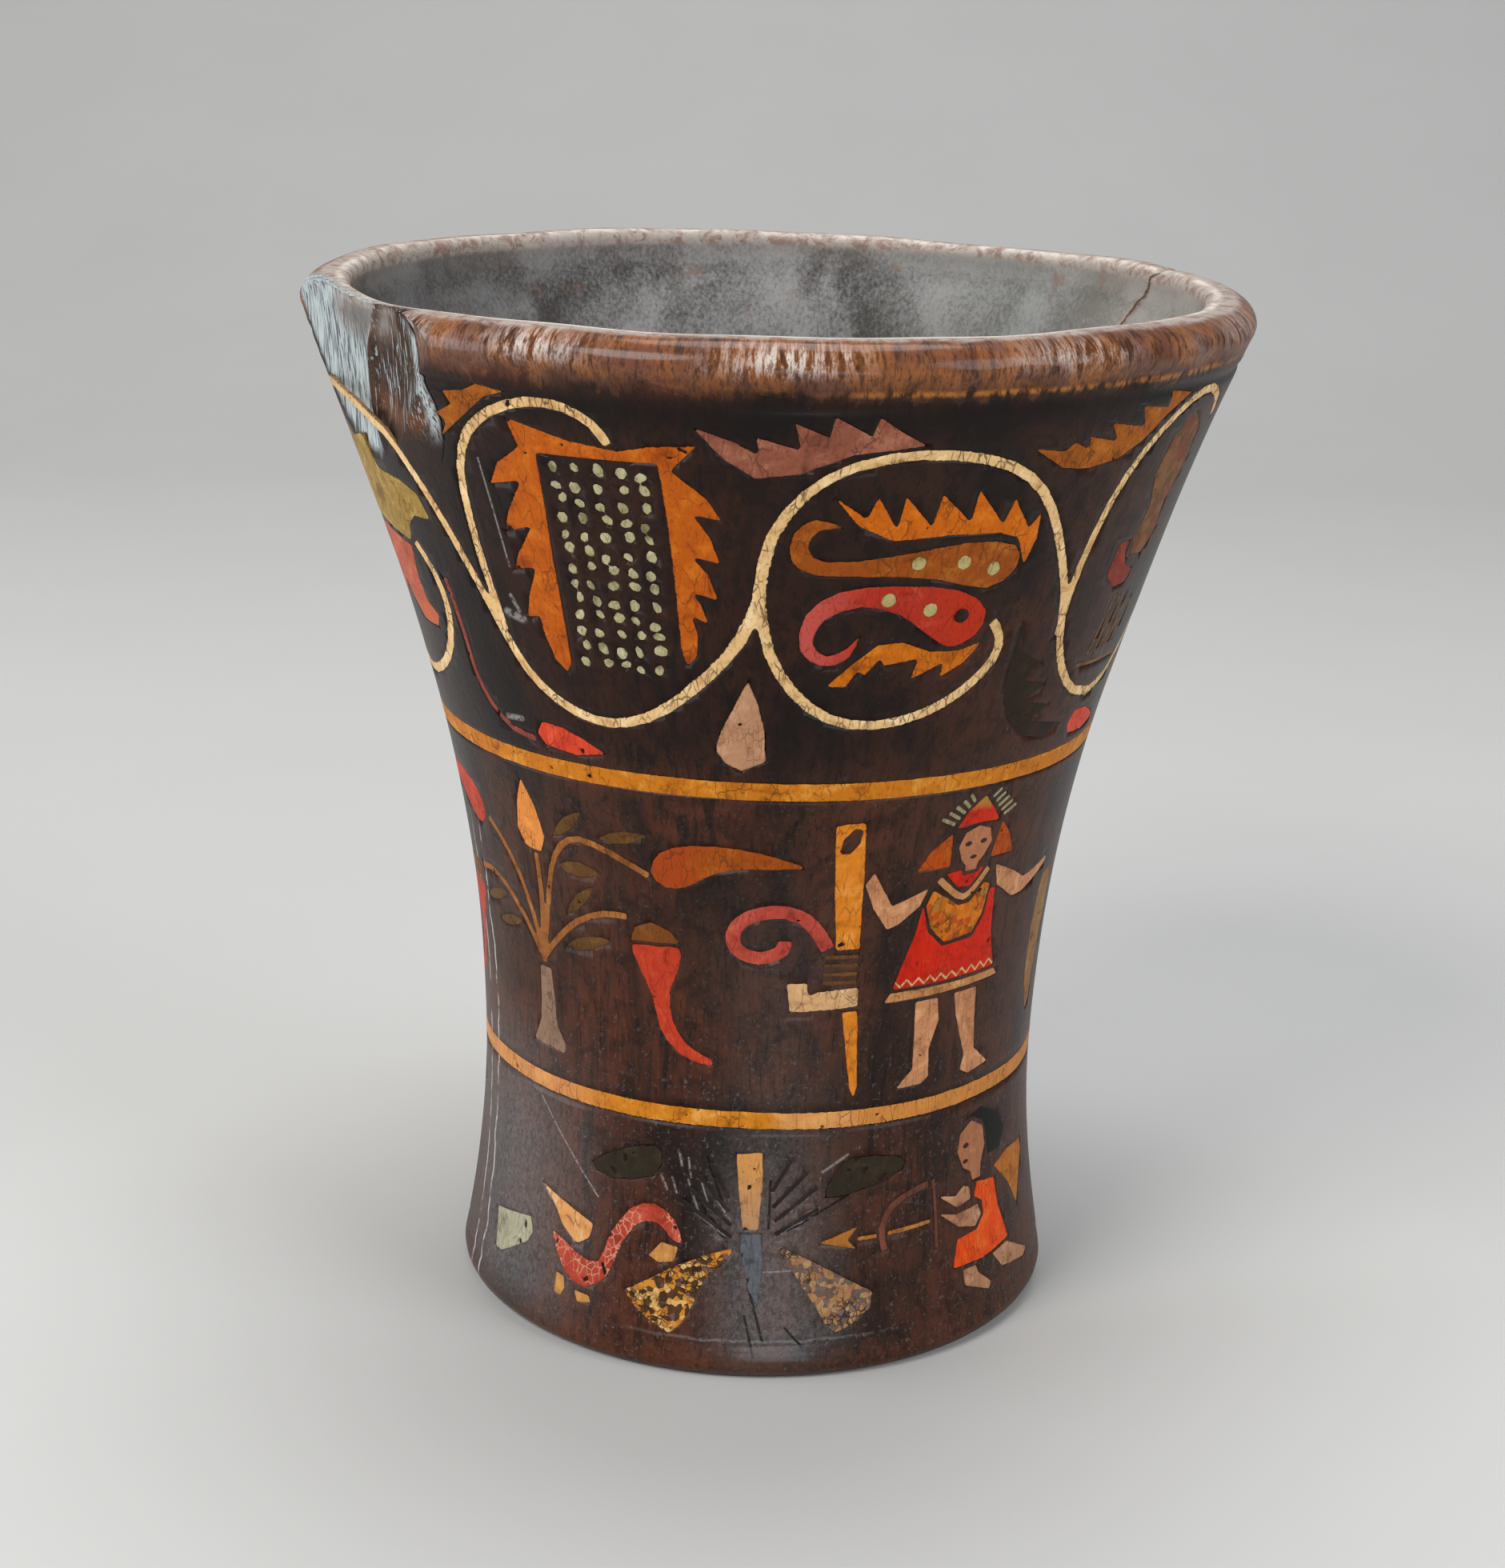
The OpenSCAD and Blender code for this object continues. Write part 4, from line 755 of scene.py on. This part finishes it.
# cracks: size of the cells in mm, width of a crack as a share of it, strength, colour
leafCrack = [1.8, 0.048, 0.56, darkCrack]
borderCrack = [1.7, 0.048, 0.56, darkCrack]
skinCrack = [2.4, 0.024, 0.22, (130, 80, 60)]
plainLook = {  # what a piece has unless its own entry says otherwise; grid, stray, grow and drift in mm
    "grid": 0.32, "soft": 3, "stray": 0.09, "grow": 0, "drift": 0, "loss": 0.72, "lost": [],
    "pits": 0.55, "grimeAndShade": 0.5, "crack": [1.6, 0.04, 0.5, (64, 40, 26)], "crackStretch": (1, 1, 0.3),
    "chip": 1.1, "mosaicShare": 0.85, "across": [], "acrossShare": 1, "up": [],
}
inlays = {  # tones are light, middle, deep; lost places are degrees, height and size in mm
    "upper_border": {
        "slot": "resin_ochre", "tones": [(210, 142, 54), (190, 112, 20), (148, 80, 12)], "grid": 0.4,
        "crack": borderCrack, "crackStretch": (1, 1, 0.45), "loss": 0.66},
    "lower_border": {
        "slot": "resin_ochre", "tones": [(214, 150, 66), (194, 118, 24), (150, 84, 12)], "grid": 0.4,
        "crack": borderCrack, "crackStretch": (1, 1, 0.45), "loss": 0.62,
        # across: paler pinkish at the left, partly flaking and partly painted sheen; paler over the front strip as
        # painted sheen
        "across": [(-26, -46, (204, 150, 108)), (2, 7, (204, 154, 104)), (17, 23, (190, 114, 24))],
        "acrossShare": 0.5},
    "vine_scroll": {
        "slot": "resin_cream", "tones": [(238, 206, 156), (219, 180, 124), (178, 134, 82)], "grid": 0.37,
        "crack": [1.25, 0.08, 0.74, darkCrack], "loss": 0.66, "stray": 0.12},
    "panel_frame": {
        "slot": "resin_orange", "tones": [(194, 104, 20), (178, 84, 8), (140, 60, 6)],
        "crack": [2.4, 0.04, 0.45, darkCrack], "loss": 0.6,
        "lost": [(-35.6, 147.5, 1.3), (-35.6, 154.5, 1.2), (-31.6, 174.4, 1.0)]},
    "panel_kernels": {
        "slot": "resin_olive", "tones": [(190, 182, 146), (168, 160, 120), (112, 102, 70)], "soft": 4,
        "grow": -0.16, "drift": 0.75, "stray": 0.24, "grid": 0.23, "crack": [1.2, 0.048, 0.3, darkCrack],
        "loss": 0.7},
    "crest_leaf": {
        "slot": "resin_rose", "tones": [(160, 102, 80), (136, 78, 58), (102, 56, 42)],
        "crack": [2.2, 0.04, 0.52, (60, 28, 24)]},
    "side_leaves": {
        "slot": "resin_ochre", "tones": [(172, 100, 24), (152, 80, 10), (112, 56, 6)], "crack": leafCrack},
    "pepper_crown_leaf": {
        "slot": "resin_ochre", "tones": [(207, 112, 18), (191, 94, 5), (146, 66, 3)], "crack": leafCrack},
    "orange_pepper": {
        "slot": "resin_orange", "tones": [(164, 92, 26), (145, 70, 12), (108, 50, 6)], "soft": 6, "pits": 0.2,
        "crack": [2.1, 0.036, 0.45, darkCrack]},
    "red_pepper": {
        "slot": "resin_red", "tones": [(186, 62, 40), (168, 44, 26), (130, 30, 18)], "soft": 6, "pits": 0.2,
        "crack": [2.1, 0.032, 0.38, (84, 22, 18)], "across": [(14, 5, (182, 76, 66)), (20, 28, (176, 44, 14))],
        "lost": [(26.4, 143.2, 1.4)]},
    "pepper_seeds": {"slot": "resin_olive", "tones": [(194, 180, 126), (172, 156, 102), (132, 114, 68)], "soft": 4},
    "pepper_under_leaf": {
        "slot": "resin_ochre", "tones": [(208, 120, 25), (191, 100, 7), (142, 68, 3)], "crack": leafCrack},
    "seed_drops": {
        "slot": "resin_flesh", "tones": [(190, 144, 112), (174, 128, 95), (150, 104, 74)], "soft": 16,
        "grow": 0.1, "pits": 0.15, "crack": [1, 0.056, 0.45, (110, 66, 52)]},
    "red_buds": {
        "slot": "resin_red", "tones": [(214, 88, 58), (202, 62, 34), (174, 46, 22)], "soft": 12, "grow": 0.06},
    "bud_stem": {
        "slot": "resin_rose", "tones": [(150, 74, 58), (130, 58, 46), (96, 38, 30)], "soft": 1, "loss": 0.42},
    "flower_calyx": {"slot": "resin_olive", "tones": [(180, 150, 84), (152, 120, 52), (112, 82, 32)], "soft": 5},
    "flower_petals": {
        "slot": "resin_red", "tones": [(198, 104, 76), (172, 80, 54), (130, 54, 36)], "soft": 5,
        "up": [(140, 132, (190, 94, 54))]},
    "dark_leaf": {"slot": "resin_brown", "tones": [(52, 35, 20), (37, 24, 13), (25, 16, 9)], "grimeAndShade": 0.4},
    "tuft_curl": {"slot": "resin_red", "tones": [(142, 58, 38), (122, 42, 25), (88, 28, 16)]},
    "tuft_plume": {
        "slot": "resin_brown", "tones": [(124, 82, 48), (102, 58, 26), (74, 36, 12)], "soft": 5,
        "mosaic": [(110, 66, 28), (124, 50, 34), (84, 72, 40), (134, 92, 48)], "chip": 2.2, "mosaicShare": 0.5},
    "tuft_fringe": {
        "slot": "resin_brown", "tones": [(136, 96, 54), (114, 78, 42), (78, 52, 26)], "soft": 1, "grid": 0.14},
    "plant_trunk": {
        "slot": "resin_brown", "tones": [(152, 124, 104), (134, 106, 86), (108, 84, 66)]},
    "plant_stems": {
        "slot": "resin_brown", "tones": [(164, 106, 54), (142, 86, 38), (104, 60, 24)], "soft": 1, "grid": 0.24,
        "loss": 0.55},
    "plant_bud": {
        "slot": "resin_ochre", "tones": [(226, 144, 72), (210, 129, 56), (178, 102, 40)], "soft": 5,
        "crackStretch": (1, 1, 0.4)},
    "plant_leaves": {"slot": "resin_brown", "tones": [(112, 78, 36), (90, 60, 25), (62, 40, 17)], "grid": 0.22},
    "orange_chilli": {
        "slot": "resin_orange", "tones": [(164, 84, 22), (149, 68, 8), (118, 52, 6)], "soft": 5,
        "across": [(-8, -15, (156, 62, 16))]},
    "red_chilli": {
        "slot": "resin_red", "tones": [(192, 72, 46), (178, 55, 30), (140, 38, 20)], "soft": 5,
        "crack": [2.6, 0.032, 0.38, (120, 30, 20)]},
    "chilli_cap": {"slot": "resin_brown", "tones": [(126, 76, 34), (112, 62, 20), (90, 46, 10)], "soft": 6},
    "staff": {
        "slot": "resin_ochre", "tones": [(222, 144, 62), (207, 121, 28), (160, 90, 20)],
        "crack": [2, 0.04, 0.45, darkCrack]},
    "staff_binding": {
        "slot": "resin_brown", "tones": [(110, 72, 38), (92, 58, 28), (60, 38, 18)], "soft": 1, "grid": 0.2},
    "staff_hand": {"slot": "resin_cream", "tones": [(224, 182, 134), (202, 158, 110), (160, 120, 80)]},
    "staff_curl": {
        "slot": "resin_rose", "tones": [(188, 86, 70), (170, 66, 52), (132, 46, 36)],
        "crack": [1.8, 0.048, 0.45, (90, 30, 28)]},
    "figure_head": {
        "slot": "resin_flesh", "tones": [(188, 126, 88), (170, 108, 72), (136, 82, 52)], "grid": 0.2,
        "grimeAndShade": 0.5, "crack": skinCrack},
    "figure_cap": {
        "slot": "resin_red", "tones": [(198, 52, 18), (191, 37, 7), (152, 26, 5)], "grid": 0.2,
        "up": [(104.6, 106.4, (166, 112, 44))]},
    "figure_feathers": {
        "slot": "resin_olive", "tones": [(178, 168, 130), (150, 140, 104), (108, 98, 68)], "soft": 1,
        "grid": 0.18},
    "figure_hair": {"slot": "resin_orange", "tones": [(184, 88, 14), (170, 70, 3), (130, 52, 3)], "grid": 0.2},
    "figure_dress": {
        "slot": "resin_red", "tones": [(202, 48, 13), (195, 31, 4), (160, 22, 3)], "grid": 0.25,
        "zigzag": [72.9, 1.2, 2.6, 0.34, (204, 164, 112)]},
    "figure_chest": {
        "slot": "resin_orange", "tones": [(206, 126, 42), (190, 98, 8), (118, 56, 6)], "grid": 0.22,
        "mosaic": [(194, 100, 8), (206, 122, 30), (176, 46, 8), (194, 100, 8), (138, 112, 44), (80, 40, 16)],
        "chip": 1.2, "mosaicShare": 0.6},
    "figure_trim": {"slot": "resin_olive", "tones": [(206, 152, 98), (182, 124, 74), (130, 86, 48)], "grid": 0.2},
    "figure_limbs": {
        "slot": "resin_flesh", "tones": [(210, 154, 108), (187, 128, 87), (134, 86, 54)], "pits": 0.9,
        "grid": 0.25, "crack": [1.6, 0.04, 0.34, (120, 74, 54)]},
    "face_marks": {
        "slot": "resin_black", "tones": [(66, 42, 34), (54, 34, 28), (40, 26, 22)], "grid": 0.14, "stray": 0.04,
        "grimeAndShade": 0.2},
    "paddle": {"slot": "resin_cream", "tones": [(160, 118, 70), (142, 101, 58), (106, 70, 36)]},
    "creature_body": {
        "slot": "resin_red", "tones": [(190, 86, 66), (168, 60, 42), (128, 42, 27)],
        "crack": [1.4, 0.1, 0.7, (206, 150, 124)], "crackStretch": (1, 1, 0.8), "loss": 0.5},
    "creature_beak_and_feet": {
        "slot": "resin_ochre", "tones": [(202, 146, 84), (182, 126, 66), (146, 98, 46)], "grid": 0.2},
    "creature_wing": {
        "slot": "resin_ochre", "tones": [(222, 178, 130), (208, 147, 87), (178, 118, 64)], "soft": 9,
        "crack": [1.9, 0.064, 0.6, (80, 50, 30)]},
    "creature_tail": {
        "slot": "resin_olive", "tones": [(180, 175, 152), (162, 158, 134), (132, 127, 104)], "loss": 0.5},
    "insect_body": {
        "slot": "resin_cream", "tones": [(194, 152, 108), (174, 128, 86), (124, 88, 58)], "loss": 0.52,
        "pits": 0.9, "crack": [1.0, 0.09, 0.55, darkCrack], "up": [(30, 41, (196, 138, 74))]},
    "insect_tail": {"slot": "resin_black", "tones": [(110, 113, 119), (88, 91, 96), (54, 57, 62)], "loss": 0.5},
    "insect_wings": {
        "slot": "resin_ochre", "tones": [(204, 150, 76), (176, 120, 52), (96, 58, 26)], "soft": 5,
        "crack": [0.95, 0.13, 0.85, (40, 28, 22)], "crackStretch": (1, 1, 1), "chip": 0.95, "mosaicShare": 0.9,
        # across: greyer over the front strip, a painted sheen
        "loss": 0.6, "across": [(1, 4, (118, 100, 92))], "acrossShare": 0.55,
        "mosaic": [
            (200, 138, 48), (184, 108, 30), (58, 36, 26), (204, 156, 86), (44, 30, 24), (196, 128, 44), (92, 70, 76),
            (210, 168, 104), (40, 28, 24)]},
    "insect_rays": {
        "slot": "resin_black", "tones": [(52, 46, 42), (36, 31, 29), (26, 22, 21)], "soft": 1, "grid": 0.2},
    "cloud_patches": {
        "slot": "resin_brown", "tones": [(56, 47, 34), (42, 35, 24), (30, 25, 18)], "soft": 18, "grow": 0.1,
        "loss": 0.4, "grimeAndShade": 0.4},
    "archer_head": {
        "slot": "resin_flesh", "tones": [(180, 120, 84), (162, 104, 70), (130, 80, 52)], "grid": 0.2,
        "grimeAndShade": 0.5, "crack": skinCrack},
    "archer_hair": {"slot": "resin_black", "tones": [(27, 26, 23), (17, 17, 15), (11, 11, 10)], "grid": 0.2},
    "archer_tunic": {
        "slot": "resin_red", "tones": [(228, 98, 34), (221, 73, 9), (182, 54, 6)], "grid": 0.22,
        "crack": [1.0, 0.08, 0.5, (150, 46, 18)], "pits": 0.9},
    "archer_limbs": {
        "slot": "resin_flesh", "tones": [(196, 146, 108), (170, 120, 88), (122, 80, 54)], "pits": 0.9,
        "grid": 0.2},
    "archer_quiver": {
        "slot": "resin_ochre", "tones": [(196, 130, 56), (176, 102, 28), (132, 70, 12)], "grid": 0.22},
    "archer_bow": {
        "slot": "resin_brown", "tones": [(120, 70, 54), (102, 58, 44), (72, 40, 30)], "soft": 1, "grid": 0.14,
        "loss": 0.56},
    "archer_arrow": {
        "slot": "resin_ochre", "tones": [(186, 126, 62), (164, 102, 42), (122, 72, 26)], "soft": 1, "grid": 0.18},
}
inlays = {node: {**plainLook, **look} for node, look in inlays.items()}


def dressPiece(piece, node, material):
    piece.data.materials.clear()
    piece.data.materials.append(material)
    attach(piece, "root")
    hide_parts(node)


def markBody(body):  # what the wood's material reads: lining, torn wood and pocket walls
    points = readPoints(body.data)
    phi, r, z = polar(points)
    inner = np.clip((wallRadius(z) - 5.2 - r) / 1.6, 0, 1) * np.clip((z - 12) / 4, 0, 1)
    storeValue(body, "inside", inner)
    ahead = (points - np.array(splitPoint)) @ np.array(splitNormal)
    torn = np.clip((wallRadius(z) - r - 0.25) / 0.5, 0, 1) * np.clip((ahead + 3) / 0.6, 0, 1)
    storeValue(body, "torn", torn * (1 - inner) * (z > 158))
    middles = np.empty(len(body.data.polygons) * 3)
    body.data.polygons.foreach_get("center", middles)
    middles = middles.reshape(-1, 3) / mm
    phi, r, z = polar(middles)
    under = wallRadius(z) + carvedWall(phi, z) - r
    ahead = (middles - np.array(splitPoint)) @ np.array(splitNormal)
    sunk = (under > 0.12) & (under < 1.4) & (z > 5) & (z < 177)
    storeValue(body, "pocket", sunk & ((ahead < -2.5) | (z < 156)), "FACE")


body = carveCup(buildCup())
print("cup turned and carved:", len(body.data.polygons), "faces")
cutPockets(body)
markBody(body)
finishSmooth(body, 38)
dressPiece(body, "cup_body", woodFinish())
print("pockets cut:", len(body.data.polygons), "faces")

total = 0
for node, look in inlays.items():
    piece = inlayPiece(node, look)
    dressPiece(piece, node, resinFinish(node, look))
    total += len(piece.data.polygons)
print("inlays set:", len(inlays), "pieces,", total, "faces")

stage = {  # lengths in m
    "floor": (196, 196, 194), "size": 4, "behind": 1.6, "wall": 2.4, "round": 0.8,
    "aim": (0, 0, 0.1), "sky": (0.82, 0.86, 0.92, 1), "skyPower": 0.16,
}


def buildFloor():
    bm = bmesh.new()
    made = bmesh.ops.create_grid(bm, x_segments=1, y_segments=1, size=stage["size"] / 2)
    bmesh.ops.translate(bm, verts=made["verts"], vec=(0, stage["behind"] - stage["size"] / 2, 0))
    far = [e for e in bm.edges if all(v.co.y > stage["behind"] - 0.01 for v in e.verts)]
    up = bmesh.ops.extrude_edge_only(bm, edges=far)
    top = [v for v in up["geom"] if isinstance(v, bmesh.types.BMVert)]
    bmesh.ops.translate(bm, verts=top, vec=(0, 0, stage["wall"]))
    bmesh.ops.bevel(bm, geom=far, offset=stage["round"], affect="EDGES", segments=16, profile=0.5, material=-1)
    floor = toObject("floor", bm)
    for face in floor.data.polygons:
        face.use_smooth = True
    f = Finish("floor_paper")
    speck = f.cloud(90, 3, 0.5)
    color = f.blend(stage["floor"], tuple(c - 6 for c in stage["floor"]), speck)
    floor.data.materials.append(f.close(color, 0.75 + speck * 0.1, speck, 0.02))


lights = {  # place in m, size in m, power in W, colour
    "key": [(-0.85, -1.0, 1.3), 0.8, 18, (1.0, 0.97, 0.93)],
    "left": [(-1.15, -0.1, 0.3), 0.8, 7, (0.92, 0.96, 1.0)],
    "front": [(0.16, -1.0, 0.12), 0.5, 2.6, (0.9, 0.95, 1.0)],
    "fill": [(1.1, -0.7, 0.75), 0.9, 9.5, (0.94, 0.97, 1.0)],
    "top": [(0.05, 0.3, 1.5), 0.9, 13, (1.0, 1.0, 1.0)],
}


def hangLights():
    for name, (place, size, power, rgb) in lights.items():
        lamp = bpy.data.lights.new(name, "AREA")
        lamp.shape, lamp.size, lamp.energy, lamp.color = "DISK", size, power, rgb
        held = bpy.data.objects.new(name, lamp)
        held.location = place
        held.rotation_euler = (Vector(stage["aim"]) - Vector(place)).to_track_quat("-Z", "Y").to_euler()
        bpy.context.scene.collection.objects.link(held)
    world = bpy.data.worlds.new("studio")
    world.use_nodes = True
    sky = world.node_tree.nodes["Background"].inputs
    sky["Color"].default_value, sky["Strength"].default_value = stage["sky"], stage["skyPower"]
    bpy.context.scene.world = world


# place in m, turns in degrees, lens in mm
camera = {"place": (0, -0.51166, 0.24958), "pitch": 16.837, "pan": -0.253, "roll": 1.55, "lens": 65.186}


def setCamera():
    pitch, pan, roll = (math.radians(camera[k]) for k in ("pitch", "pan", "roll"))
    ahead = Vector((math.sin(pan), math.cos(pan), 0))
    side = Vector((math.cos(pan), -math.sin(pan), 0))
    forward = ahead * math.cos(pitch) - Vector((0, 0, 1)) * math.sin(pitch)
    upward = ahead * math.sin(pitch) + Vector((0, 0, 1)) * math.cos(pitch)
    right = side * math.cos(roll) + upward * math.sin(roll)
    upright = upward * math.cos(roll) - side * math.sin(roll)
    lens = bpy.data.cameras.new("camera")
    lens.lens, lens.sensor_width, lens.clip_start = camera["lens"], 36, 0.01
    held = bpy.data.objects.new("camera", lens)
    turned = Matrix((right, upright, -forward)).transposed().to_4x4()
    held.matrix_world = Matrix.Translation(camera["place"]) @ turned
    bpy.context.scene.collection.objects.link(held)
    bpy.context.scene.camera = held


buildFloor()
hangLights()
setCamera()
bpy.context.scene.view_settings.view_transform = "Standard"
print("floor, lights and camera placed")
